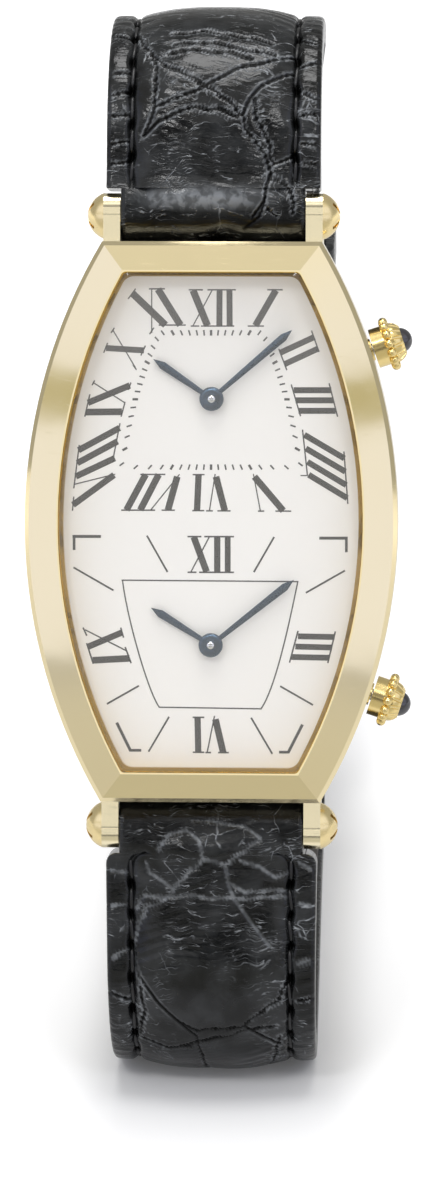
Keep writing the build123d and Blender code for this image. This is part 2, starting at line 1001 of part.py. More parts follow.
    with BuildPart() as escape_wheel:
        toothed(hub, escape_spot, escape_radius, escape_teeth, escape_low, escape_high)
        rounds(
            hub,
            [escape_spot],
            escape_pinion,
            center_low - pinion_margin / 2,
            center_high + pinion_margin,
        )
        pinned(hub, escape_spot)
    keep(escape_wheel, f"{prefix}_escape_wheel")

    with BuildPart() as pallet_fork:
        rounds(hub, [fork_spot], pallet_hub_radius, escape_low, escape_high)
        lever = fork_length - roller_radius - 2 * wheel_gap
        strip(hub, fork_spot, fork_angle, lever, pallet_width, escape_low, escape_high)
        for turn in (-1, 1):
            arm_angle = fork_angle + turn * degrees(pi / 2)
            strip(
                hub, fork_spot, arm_angle, pallet_span / 2, pallet_width, escape_low, escape_high
            )
        pinned(hub, fork_spot)
    keep(pallet_fork, f"{prefix}_pallet_fork")

    with BuildPart() as balance_wheel:
        rim_low = train_level(balance_level + balance_thickness)
        with BuildSketch(hub.offset(rim_low)) as rim:
            with Locations(balance_spot):
                Circle(balance_radius)
                Circle(balance_radius - balance_rim, mode=Mode.SUBTRACT)
                Rectangle(2 * (balance_radius - balance_rim / 2), balance_spoke)
                Circle(roller_radius)
        extrude(rim.sketch, amount=balance_thickness, dir=hub.z_dir)
        rounds(hub, [balance_spot], roller_radius, escape_low, escape_low + roller_thickness)
        pinned(hub, balance_spot)
    keep(balance_wheel, f"{prefix}_balance_wheel")

    with BuildPart() as hairspring:
        coil_low = train_level(hairspring_level + hairspring_height)
        steps = ceil(hairspring_turns * turn_steps)

        def coil(offset):
            """Points of a flat spiral that grows by one pitch a turn."""
            return [
                beside(
                    balance_spot,
                    hairspring_inner + hairspring_pitch * n / turn_steps + offset,
                    degrees(2 * pi * n / turn_steps),
                )
                for n in range(steps + 1)
            ]

        with BuildSketch(hub.offset(coil_low)) as blade:
            with BuildLine():
                inner = Spline(*coil(-hairspring_width / 2))
                outer = Spline(*coil(hairspring_width / 2))
                Line(inner @ 0, outer @ 0)
                Line(inner @ 1, outer @ 1)
            make_face()
        extrude(blade.sketch, amount=hairspring_height, dir=hub.z_dir)
    keep(hairspring, f"{prefix}_hairspring")

    with BuildPart() as minute_wheel:
        wheel_low = plate_top + motion_shelf
        wheel_high = wheel_low + motion_thickness
        pinion_high = plate_top + hour_shelf + motion_thickness
        rounds(hub, [minute_spot], cannon_radius * minute_ratio, wheel_low, wheel_high)
        rounds(hub, [minute_spot], minute_pinion, wheel_high, pinion_high)
        rounds(
            hub,
            [minute_spot],
            motion_stud_radius + arbor_air,
            wheel_low - overrun,
            pinion_high + overrun,
            Mode.SUBTRACT,
        )
    keep(minute_wheel, f"{prefix}_minute_wheel")

    with BuildPart() as hour_wheel:
        hour_low = plate_top + hour_shelf
        toothed(
            hub,
            middle,
            minute_pinion * hour_ratio,
            third_teeth,
            hour_low,
            hour_low + motion_thickness,
        )
        rounds(hub, [middle], hour_pipe_radius, hour_low, hour_hand_height)
        rounds(
            hub,
            [middle],
            cannon_pipe_radius + arbor_air,
            hour_low - overrun,
            hour_hand_height + overrun,
            Mode.SUBTRACT,
        )
    keep(hour_wheel, f"{prefix}_hour_wheel")

    spots = {
        "hub": middle,
        "barrel": barrel_spot,
        "third": third_spot,
        "fourth": fourth_spot,
        "escape": escape_spot,
        "fork": fork_spot,
        "balance": balance_spot,
        "minute_wheel": minute_spot,
        "crown_wheel": crown_spot,
    }
    for name, spot in spots.items():
        pivots[f"{prefix}_{name}"] = (hub.from_local_coords((*spot, 0)), hub.z_dir)


for prefix, hub in hubs.items():
    movement(prefix, hub)


def hand(length, angle, spot, bottom, bore):
    """A hand: a round hub, and a blade that widens towards a point."""
    twelve = degrees(pi / 2)
    plane = Plane(
        origin=(*spot, bottom),
        x_dir=(cos(radians(twelve + angle)), sin(radians(twelve + angle)), 0),
        z_dir=(0, 0, 1),
    )
    root = hand_root_width / 2
    wide = hand_blade_width / 2
    with BuildSketch(plane) as blade:
        Polygon(
            (0, -root),
            (length - hand_point_length, -wide),
            (length, 0),
            (length - hand_point_length, wide),
            (0, root),
            align=None,
        )
    extrude(blade.sketch, amount=hand_thickness)
    rounds(plane, [(0, 0)], hand_hub_radius, 0, hand_thickness)
    rounds(plane, [(0, 0)], bore, -overrun, hand_thickness + overrun, Mode.SUBTRACT)


hand_angles = {
    "upper": (hour_hand_angle, minute_hand_angle),
    "lower": (lower_hour_hand_angle, lower_minute_hand_angle),
}
for prefix, hub in hubs.items():
    spot = (hub.origin.X, hub.origin.Y)
    hour_angle, minute_angle = hand_angles[prefix]
    with BuildPart() as hour_hand:
        hand(hour_hand_length, hour_angle, spot, hour_hand_height, cannon_pipe_radius + arbor_air)
    keep(hour_hand, f"{prefix}_hour_hand")
    with BuildPart() as minute_hand:
        hand(
            minute_hand_length,
            minute_angle,
            spot,
            minute_hand_height,
            center_arbor_radius + arbor_air,
        )
        cannon_low = plate_top + motion_shelf
        rounds(hub, [(0, 0)], cannon_pipe_radius, cannon_low, minute_hand_height)
        rounds(hub, [(0, 0)], cannon_radius, cannon_low, cannon_low + motion_thickness)
        rounds(
            hub,
            [(0, 0)],
            center_arbor_radius + arbor_air,
            cannon_low - overrun,
            minute_hand_height + overrun,
            Mode.SUBTRACT,
        )
    keep(minute_hand, f"{prefix}_minute_hand")


def strap_route(end, legs):
    """Side view of half a strap from its shoulder: runs given by a length, bends by radius and turn."""
    start = radians(strap_start_angle)
    heading = Vector(0, end * cos(start), -sin(start))
    spot = Vector(0, end * bar_reach, bar_height) + heading * strap_shoulder
    with BuildLine(Plane.YZ) as side_view:
        for leg in legs:
            if len(leg) == 1:
                piece = Line(spot, spot + heading * leg[0])
            else:
                piece = JernArc(start=spot, tangent=heading, radius=leg[0], arc_size=-end * leg[1])
            spot = piece @ 1
            heading = piece % 1
    return side_view.wire()


def shares_of(legs):
    """How far along the route each leg ends, as a share of the whole."""
    lengths = [leg[0] if len(leg) == 1 else leg[0] * radians(leg[1]) for leg in legs]
    return [sum(lengths[: n + 1]) / sum(lengths) for n in range(len(lengths))]


def across(end, spot, heading):
    """Plane square to a strap, with y out of the strap's top and x across it."""
    return Plane(origin=spot, x_dir=(-end, 0, 0), z_dir=heading)


def leather(end, route, share, width, half_thickness, padding):
    """Section of the padded leather: flat edges, and a crown between them."""
    edge = width / 2
    crown = edge - strap_flange
    floor = lining_thickness - half_thickness
    with BuildSketch(across(end, route @ share, route % share)) as section:
        with BuildLine():
            Polyline(
                (-crown, half_thickness),
                (-edge, half_thickness),
                (-edge, floor),
                (edge, floor),
                (edge, half_thickness),
                (crown, half_thickness),
            )
            ThreePointArc(
                (crown, half_thickness),
                (0, half_thickness + padding),
                (-crown, half_thickness),
            )
        make_face()
    return section.sketch.face()


def lining(end, route, share, width, half_thickness):
    """Section of the lining, which lies under the leather."""
    with BuildSketch(across(end, route @ share, route % share)) as section:
        with Locations((0, -half_thickness)):
            Rectangle(
                width - 2 * lining_inset,
                lining_thickness - glue_line,
                align=(Align.CENTER, Align.MIN),
            )
    return section.sketch.face()


strap_neck_width = lug_gap - 2 * strap_neck_air
upper_top_width = lug_gap + 2 * upper_shoulder_cover
lower_top_width = lug_gap + 2 * lower_shoulder_cover
strap_tip_width = strap_end_width * tip_width_share
upper_legs = [
    (upper_shoulder_run,),
    (upper_bend_radius, upper_bend_turn),
    (upper_back_run,),
    (upper_knee_radius, upper_knee_turn),
    (upper_tail_run,),
]
lower_legs = [
    (lower_shoulder_run,),
    (lower_bend_radius, degrees(pi / 2) + lean - strap_start_angle),
    (lower_foot_run,),
    (lower_curl_radius, lower_curl_turn),
    (lower_tail_run,),
]
upper_route = strap_route(1, upper_legs)
lower_route = strap_route(-1, lower_legs)
upper_shares = shares_of(upper_legs)
lower_shares = shares_of(lower_legs)
foot_middle_share = (lower_shares[1] + lower_shares[2]) / 2
tail_middle_share = (upper_shares[3] + upper_shares[4]) / 2
end_section = (strap_end_width, strap_end_half_thickness, strap_end_padding)
bend_section = (upper_top_width * upper_bend_width_share, strap_bend_half_thickness, strap_padding)
upper_back_section = (upper_top_width * back_width_share, strap_bend_half_thickness, strap_back_padding)
foot_section = (lower_top_width * lower_bend_width_share, strap_bend_half_thickness, strap_padding)
lower_back_section = (lower_top_width * back_width_share, strap_bend_half_thickness, strap_back_padding)
upper_sections = (
    (0, upper_top_width, strap_half_thickness, strap_padding),
    (upper_shares[1], *bend_section),
    (upper_shares[2], *upper_back_section),
    (upper_shares[3], *end_section),
    (tail_middle_share, *end_section),
    (1, *end_section),
)
lower_sections = (
    (0, lower_top_width, strap_half_thickness, strap_padding),
    (lower_shares[1], *foot_section),
    (foot_middle_share, *foot_section),
    (lower_shares[2], *lower_back_section),
    (lower_shares[3], *end_section),
    (1, strap_tip_width, strap_end_half_thickness, strap_end_padding),
)


def strap_neck(end):
    """The narrow end that goes between the lugs and loops round the bar."""
    route_start = Plane(
        origin=(0, end * bar_reach, bar_height),
        x_dir=(0, end * cos(radians(strap_start_angle)), -sin(radians(strap_start_angle))),
        z_dir=(1, 0, 0),
    )
    with BuildSketch(route_start) as loop:
        Circle(strap_loop_radius)
        Rectangle(
            strap_shoulder + strap_loop_radius / 2,
            2 * strap_loop_radius,
            align=(Align.MIN, Align.CENTER),
        )
    extrude(loop.sketch, amount=strap_neck_width / 2, both=True)
    with BuildSketch(route_start) as bore:
        Circle(bar_radius + strap_bar_air)
    extrude(bore.sketch, amount=strap_neck_width, both=True, mode=Mode.SUBTRACT)


def clear_neck(end):
    """Cut the lining back from the neck and its loop."""
    reach = strap_shoulder + strap_loop_radius
    spot = (end * bar_reach, bar_height)
    rounds(Plane.YZ, [spot], reach, -strap_neck_width, strap_neck_width, Mode.SUBTRACT)


# Plane of the buckle: its bar at zero, y along the strap and z out of the strap's top
strap_end = upper_route @ 1
end_heading = upper_route % 1
buckle_plane = Plane(
    origin=strap_end + end_heading * (buckle_loop_radius + buckle_air),
    x_dir=(1, 0, 0),
    z_dir=end_heading.cross(Vector(-1, 0, 0)),
)
bar_plane = Plane(origin=buckle_plane.origin, x_dir=end_heading, z_dir=(1, 0, 0))
end_half_width = strap_end_width / 2
arm_start = end_half_width + buckle_side_air
arm_end = arm_start + buckle_arm_width
tongue_gap = tongue_width + 2 * tongue_slot_air

with BuildPart() as upper_strap:
    sweep(
        [leather(1, upper_route, *values) for values in upper_sections],
        path=upper_route,
        multisection=True,
    )
    strap_neck(1)
    with BuildSketch(bar_plane) as end_loop:
        Circle(buckle_loop_radius)
        Rectangle(
            2 * buckle_loop_radius,
            2 * strap_end_half_thickness,
            align=(Align.MAX, Align.CENTER),
        )
    extrude(end_loop.sketch, amount=end_half_width, both=True)
    rounds(
        bar_plane,
        [(0, 0)],
        buckle_bar_radius + buckle_air,
        -arm_end,
        arm_end,
        Mode.SUBTRACT,
    )
    with BuildSketch(buckle_plane) as tongue_slot:
        with Locations((0, -tongue_eye_radius - tongue_slot_air)):
            Rectangle(
                tongue_gap,
                2 * tongue_eye_radius + tongue_slot_air + overrun,
                align=(Align.CENTER, Align.MIN),
            )
    extrude(tongue_slot.sketch, amount=2 * tongue_eye_radius, both=True, mode=Mode.SUBTRACT)
keep(upper_strap, "upper_strap")

with BuildPart() as upper_lining:
    sweep(
        [lining(1, upper_route, *values[:-1]) for values in upper_sections],
        path=upper_route,
        multisection=True,
    )
    extrude(tongue_slot.sketch, amount=2 * tongue_eye_radius, both=True, mode=Mode.SUBTRACT)
    with BuildSketch(bar_plane) as loop_room:
        Circle(buckle_loop_radius + buckle_air)
        Rectangle(
            2 * buckle_loop_radius + buckle_air,
            2 * strap_end_half_thickness + buckle_air,
            align=(Align.MAX, Align.CENTER),
        )
    extrude(loop_room.sketch, amount=end_half_width, both=True, mode=Mode.SUBTRACT)
    clear_neck(1)
keep(upper_lining, "upper_lining")

# Lower strap: pressed flat where the watch stands on it, with a pointed end and buckle holes
tip_heading = lower_route % 1
tip_plane = Plane(
    origin=lower_route @ 1,
    x_dir=(1, 0, 0),
    z_dir=Vector(1, 0, 0).cross(tip_heading),
)
down = Vector(0, -cos(radians(lean)), -sin(radians(lean)))
sole_depth = strap_bend_half_thickness + strap_padding - foot_press
sole_plane = Plane(
    origin=lower_route @ foot_middle_share + down * sole_depth,
    x_dir=(1, 0, 0),
    z_dir=down,
)


def shape_tip(width):
    """Cut the rounded end and the buckle holes through the piece that is being built."""
    half = width / 2
    with BuildSketch(tip_plane) as waste:
        Rectangle(2 * strap_tip_width, 2 * tip_point_length)
        with BuildLine():
            base = Line((-half, -2 * tip_point_length), (half, -2 * tip_point_length))
            side = Line(base @ 1, (half, -tip_point_length))
            nose = ThreePointArc(side @ 1, (0, 0), (-half, -tip_point_length))
            Line(nose @ 1, base @ 0)
        make_face(mode=Mode.SUBTRACT)
    extrude(waste.sketch, amount=strap_half_thickness + overrun, both=True, mode=Mode.SUBTRACT)
    with BuildSketch(tip_plane) as holes:
        for n in range(buckle_hole_count):
            with Locations((0, -buckle_hole_start - n * buckle_hole_pitch)):
                Circle(buckle_hole_radius)
    extrude(holes.sketch, amount=strap_half_thickness + overrun, both=True, mode=Mode.SUBTRACT)


with BuildPart() as lower_strap:
    sweep(
        [leather(-1, lower_route, *values) for values in lower_sections],
        path=lower_route,
        multisection=True,
    )
    strap_neck(-1)
    shape_tip(strap_tip_width - glue_line)
    with BuildSketch(sole_plane) as ground:
        Rectangle(2 * lower_top_width, 2 * lower_foot_run)
    extrude(ground.sketch, amount=foot_press + overrun, mode=Mode.SUBTRACT)
keep(lower_strap, "lower_strap")

with BuildPart() as lower_lining:
    sweep(
        [lining(-1, lower_route, *values[:-1]) for values in lower_sections],
        path=lower_route,
        multisection=True,
    )
    shape_tip(strap_tip_width - 2 * lining_inset - glue_line)
    clear_neck(-1)
keep(lower_lining, "lower_lining")


def keeper(place, air):
    """A keeper: a flat leather ring round the upper strap, with room on top for the other end."""
    centre = strap_end - end_heading * place
    inner_width = strap_end_width + 2 * air
    half = strap_end_half_thickness + air
    inner_height = 2 * half + keeper_room
    with BuildSketch(across(1, centre, end_heading)) as ring:
        with Locations((0, -half - keeper_thickness)):
            Rectangle(
                inner_width + 2 * keeper_thickness,
                inner_height + 2 * keeper_thickness,
                align=(Align.CENTER, Align.MIN),
            )
            fillet(ring.vertices(), keeper_thickness)
        with Locations((0, -half)):
            Rectangle(
                inner_width,
                inner_height,
                align=(Align.CENTER, Align.MIN),
                mode=Mode.SUBTRACT,
            )
    extrude(ring.sketch, amount=keeper_width / 2, both=True)


with BuildPart() as fixed_keeper:
    keeper(fixed_keeper_place, fixed_keeper_air)
keep(fixed_keeper, "fixed_keeper")
with BuildPart() as free_keeper:
    keeper(free_keeper_place, free_keeper_air)
keep(free_keeper, "free_keeper")

# Buckle: bar, frame and tongue
with BuildPart() as buckle_bar:
    rounds(bar_plane, [(0, 0)], buckle_bar_radius, -arm_end, arm_end)
keep(buckle_bar, "buckle_bar")

with BuildPart() as buckle_frame:
    with BuildSketch(buckle_plane) as frame_outline:
        with Locations((0, -buckle_loop_radius)):
            Rectangle(
                2 * arm_end,
                buckle_loop_radius + buckle_length,
                align=(Align.CENTER, Align.MIN),
            )
        fillet(frame_outline.vertices().group_by(Axis.Y)[-1], buckle_corner)
        with Locations((0, -buckle_loop_radius - overrun)):
            Rectangle(
                2 * arm_start,
                buckle_loop_radius + overrun + buckle_length - buckle_far_bar,
                align=(Align.CENTER, Align.MIN),
                mode=Mode.SUBTRACT,
            )
    extrude(frame_outline.sketch, amount=buckle_thickness / 2, both=True)
    rounds(
        bar_plane,
        [(0, 0)],
        buckle_bar_radius + buckle_air,
        -arm_end - overrun,
        arm_end + overrun,
        Mode.SUBTRACT,
    )
keep(buckle_frame, "buckle_frame")

with BuildPart() as buckle_tongue:
    tongue_bottom = buckle_thickness / 2 + tongue_air
    with BuildSketch(bar_plane) as tongue_side:
        Circle(tongue_eye_radius)
        Circle(buckle_bar_radius + buckle_air, mode=Mode.SUBTRACT)
    extrude(tongue_side.sketch, amount=tongue_width / 2, both=True)
    with BuildSketch(buckle_plane.offset(tongue_bottom)) as tongue_blade:
        Rectangle(
            tongue_width,
            buckle_length + tongue_overhang,
            align=(Align.CENTER, Align.MIN),
        )
    extrude(tongue_blade.sketch, amount=tongue_thickness)
keep(buckle_tongue, "buckle_tongue")

x_way = Vector(1, 0, 0)
pivots["upper_bar"] = (Vector(0, bar_reach, bar_height), x_way)
pivots["lower_bar"] = (Vector(0, -bar_reach, bar_height), x_way)
pivots["buckle_bar"] = (buckle_plane.origin, x_way)
pivots["keeper_way"] = (strap_end - end_heading * free_keeper_place, end_heading)
pivots["sole"] = (sole_plane.origin, sole_plane.z_dir)
pivots["dial"] = (Vector(0, 0, 0), Vector(0, 0, 1))

# Stand the watch up: tip it back onto its strap, then put the middle of its footprint at zero
tilt = Location((0, 0, 0), (degrees(pi / 2) - lean, 0, 0))
leaning = [piece.moved(tilt) for piece in pieces]
boxes = [piece.bounding_box() for piece in leaning]
shift = Vector(
    -(min(box.min.X for box in boxes) + max(box.max.X for box in boxes)) / 2,
    -(min(box.min.Y for box in boxes) + max(box.max.Y for box in boxes)) / 2,
    -min(box.min.Z for box in boxes),
)
stand = Location(shift) * tilt

os.makedirs("parts", exist_ok=True)
for piece in pieces:
    name = piece.label
    standing = piece.moved(stand)
    standing.label = name
    export_step(standing, f"parts/{name}.step")

for name, (spot, way) in pivots.items():
    place = (stand * Location(spot)).position
    direction = (tilt * Location(way)).position
    print("pivot", name, tuple(place), tuple(direction))
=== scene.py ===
"""Looks of a barrel-shaped wristwatch with two times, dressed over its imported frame.

Lengths are in millimetres over the dial until watch() places them: x runs across the dial to the
crowns, y to twelve o'clock and z out through the glass, with the middle of the dial's face at zero.
"""
import math

import bmesh
import bpy
import numpy as np
from mathutils import Matrix, Vector


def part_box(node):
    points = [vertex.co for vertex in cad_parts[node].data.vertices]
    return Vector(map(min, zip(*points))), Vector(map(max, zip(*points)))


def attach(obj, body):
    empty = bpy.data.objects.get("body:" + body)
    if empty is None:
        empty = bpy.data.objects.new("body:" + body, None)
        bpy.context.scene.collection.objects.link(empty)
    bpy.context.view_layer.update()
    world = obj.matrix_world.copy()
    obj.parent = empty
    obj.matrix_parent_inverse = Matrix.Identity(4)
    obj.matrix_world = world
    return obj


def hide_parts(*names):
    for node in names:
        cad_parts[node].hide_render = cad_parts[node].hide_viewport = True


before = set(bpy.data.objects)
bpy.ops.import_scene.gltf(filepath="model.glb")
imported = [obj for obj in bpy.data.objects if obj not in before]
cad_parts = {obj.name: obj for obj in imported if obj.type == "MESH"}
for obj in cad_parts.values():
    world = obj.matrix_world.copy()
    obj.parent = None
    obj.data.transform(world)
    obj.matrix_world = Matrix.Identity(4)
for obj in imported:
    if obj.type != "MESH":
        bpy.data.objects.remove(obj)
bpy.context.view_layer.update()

rng = np.random.default_rng(7)

MM = 0.001
LEAN = math.radians(18)
ACROSS = np.array([1.0, 0.0, 0.0])
UP = np.array([0.0, math.sin(LEAN), math.cos(LEAN)])
OUT = np.array([0.0, -math.cos(LEAN), math.sin(LEAN)])
DIAL_THICKNESS = 0.4
DIAL = sum(np.array(corner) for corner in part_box("dial")) / 2 + DIAL_THICKNESS / 2 * MM * OUT

PHOTO_WIDTH, PHOTO_HEIGHT = 431, 1182
PIXEL = 0.0707
DIAL_PIXEL = np.array([211.4, 522.0])
PRINT_PIXEL = np.array([211.2, 523.5])
CAMERA_DISTANCE = 400.0
CAMERA_SIDE = math.radians(2.8)
CAMERA_RISE = math.radians(1.7)
CAMERA_ROLL = math.radians(0.2)


def watch(points):
    """Millimetres over the dial to metres in the row frame: dial + x across + y up + z out."""
    points = np.asarray(points, float) * MM
    return DIAL + points[..., :1] * ACROSS + points[..., 1:2] * UP + points[..., 2:] * OUT


# Camera: square to the dial but for a few degrees to its right and a little above, turned a touch
# about its own axis, with the dial off the middle of the picture by lens shift
camera_back = np.array([
    math.sin(CAMERA_SIDE), math.sin(CAMERA_RISE), math.cos(CAMERA_RISE) * math.cos(CAMERA_SIDE),
])
camera_back /= np.linalg.norm(camera_back)
camera_right = np.cross((0.0, 1.0, 0.0), camera_back)
camera_right /= np.linalg.norm(camera_right)
camera_top = np.cross(camera_back, camera_right)
camera_right, camera_top = (
    camera_right * math.cos(CAMERA_ROLL) + camera_top * math.sin(CAMERA_ROLL),
    camera_top * math.cos(CAMERA_ROLL) - camera_right * math.sin(CAMERA_ROLL),
)


def place_camera():
    """The photograph's camera, with its axes and place over the dial turned into the row frame."""
    data = bpy.data.cameras.new("camera")
    made = bpy.data.objects.new("camera", data)
    bpy.context.scene.collection.objects.link(made)
    bpy.context.scene.camera = made
    axes = np.array([camera_right, camera_top, camera_back]) @ np.array([ACROSS, UP, OUT])
    made.rotation_mode = "QUATERNION"
    made.rotation_quaternion = Matrix(axes.T.tolist()).to_quaternion()
    made.location = Vector(watch(CAMERA_DISTANCE * camera_back))
    data.sensor_width = 36.0
    data.lens = data.sensor_width * CAMERA_DISTANCE / (PHOTO_HEIGHT * PIXEL)
    data.shift_x = (PHOTO_WIDTH / 2 - DIAL_PIXEL[0]) / PHOTO_HEIGHT
    data.shift_y = (DIAL_PIXEL[1] - PHOTO_HEIGHT / 2) / PHOTO_HEIGHT
    data.clip_start = 0.01
    data.clip_end = 20.0


place_camera()
bpy.context.scene.view_settings.view_transform = "Standard"


# Node helpers


def add_node(tree, kind, settings=None, **inputs):
    """A node with its settings, and its inputs set or linked. Underscores stand for spaces."""
    made = tree.nodes.new(kind)
    for key, value in (settings or {}).items():
        setattr(made, key, value)
    for key, value in inputs.items():
        numbered = key[0] == "i" and key[1:].isdigit()
        socket = made.inputs[int(key[1:]) if numbered else key.replace("_", " ")]
        if isinstance(value, bpy.types.NodeSocket):
            tree.links.new(value, socket)
        else:
            socket.default_value = value
    return made


def math_node(tree, operation, *values, clamp=False):
    """One step of arithmetic, and its result."""
    inputs = {f"i{n}": value for n, value in enumerate(values)}
    return add_node(tree, "ShaderNodeMath", {"operation": operation, "use_clamp": clamp}, **inputs).outputs[0]


def times(tree, first, second, clamp=False):
    """The product of two numbers."""
    return math_node(tree, "MULTIPLY", first, second, clamp=clamp)


def vector_math(tree, operation, *values):
    """One step of vector arithmetic, and its vector, or its number for a dot product or a length."""
    inputs = {f"i{n}": value for n, value in enumerate(values)}
    made = add_node(tree, "ShaderNodeVectorMath", {"operation": operation}, **inputs)
    return made.outputs["Value" if operation in ("DOT_PRODUCT", "LENGTH") else "Vector"]


def pull(tree, vector, scale, turn=0.0):
    """A vector turned about the third axis and scaled along each."""
    return add_node(
        tree, "ShaderNodeMapping", Vector=vector, Rotation=(0.0, 0.0, math.radians(turn)), Scale=scale,
    ).outputs[0]


def attribute(tree, name, output="Fac"):
    """One of the piece's own point attributes."""
    return add_node(tree, "ShaderNodeAttribute", {"attribute_name": name}).outputs[output]


def add_bump(tree, strength, distance, height, socket):
    """Relief from a height, into a normal socket."""
    bump = add_node(tree, "ShaderNodeBump", Strength=strength, Distance=distance, Height=height)
    tree.links.new(bump.outputs[0], socket)


def ramp(tree, value, low, high, to_low=0.0, to_high=1.0):
    """A smooth step of a value, from to_low at low to to_high at high."""
    made = add_node(
        tree, "ShaderNodeMapRange", {"interpolation_type": "SMOOTHSTEP"},
        i0=value, i1=low, i2=high, i3=to_low, i4=to_high,
    )
    return made.outputs[0]


def blend_colour(tree, share, first, second):
    """A colour between two."""
    made = tree.nodes.new("ShaderNodeMix")
    made.data_type = "RGBA"
    for index, value in ((0, share), (6, first), (7, second)):
        if isinstance(value, bpy.types.NodeSocket):
            tree.links.new(value, made.inputs[index])
        else:
            made.inputs[index].default_value = value
    return made.outputs[2]


def new_group(name, inputs, outputs):
    """An empty node group with typed sockets."""
    tree = bpy.data.node_groups.new(name, "ShaderNodeTree")
    for socket, kind in inputs.items():
        tree.interface.new_socket(name=socket, in_out="INPUT", socket_type=kind)
    for socket, kind in outputs.items():
        tree.interface.new_socket(name=socket, in_out="OUTPUT", socket_type=kind)
    return tree, tree.nodes.new("NodeGroupInput"), tree.nodes.new("NodeGroupOutput")


COLOUR, NUMBER, VECTOR = "NodeSocketColor", "NodeSocketFloat", "NodeSocketVector"


def object_point(tree):
    """Object coordinates, which are the row frame's."""
    return tree.nodes.new("ShaderNodeTexCoord").outputs["Object"]


def distance_along(tree, line, start):
    """How far the shaded point lies past a start along a line, in metres."""
    reached = vector_math(tree, "DOT_PRODUCT", object_point(tree), tuple(line))
    return math_node(tree, "SUBTRACT", reached, float(start @ line))


def noise(tree, vector, scale, detail=3.0, roughness=0.5):
    """Noise between 0 and 1."""
    return add_node(
        tree, "ShaderNodeTexNoise", Vector=vector, Scale=scale, Detail=detail, Roughness=roughness,
    ).outputs[0]


def make_polish():
    """Handled metal: soft smears in the polish, fine hairlines and a slight waviness."""
    tree, given, result = new_group(
        "handled_polish",
        {"Tint": COLOUR, "Polish": NUMBER, "Wave": NUMBER},
        {"Colour": COLOUR, "Roughness": NUMBER, "Normal": VECTOR},
    )
    point = object_point(tree)
    smear = noise(tree, point, 260.0, 4.0)
    stretched = pull(tree, point, (900.0, 900.0, 9000.0))
    hairline = ramp(tree, noise(tree, stretched, 1.0, 2.0), 0.62, 0.72)
    rough = math_node(tree, "MULTIPLY_ADD", smear, 0.07, given.outputs["Polish"])
    rough = math_node(tree, "MULTIPLY_ADD", hairline, 0.05, rough)
    deeper = blend_colour(tree, 0.35, given.outputs["Tint"], (0.75, 0.52, 0.22, 1.0))
    colour = blend_colour(tree, times(tree, smear, 0.10), given.outputs["Tint"], deeper)
    tree.links.new(colour, result.inputs["Colour"])
    tree.links.new(rough, result.inputs["Roughness"])
    wave = times(tree, noise(tree, point, 120.0, 2.0), given.outputs["Wave"])
    add_bump(tree, 0.25, 0.00012, wave, result.inputs["Normal"])
    return tree


def ridges(tree, point, turn, stretch, scale, width):
    """Thin wandering lines, pulled out along one direction: where a noise crosses its middle."""
    pulled = pull(tree, point, (scale / stretch, scale, 1.0), turn)
    off = math_node(tree, "ABSOLUTE", math_node(tree, "SUBTRACT", noise(tree, pulled, 1.0, 2.0), 0.5))
    return ramp(tree, off, 0.0, width, 1.0, 0.0)


# Stretch lines of the hide, raised and painted pale as glints: turn in degrees, stretch, scale, width and
# shift
STRETCH_LINES = (
    (22.0, 9.0, 1.5, 0.010, 3.1), (-30.0, 8.0, 1.3, 0.010, 7.7), (-4.0, 9.0, 2.0, 0.013, 12.9),
)


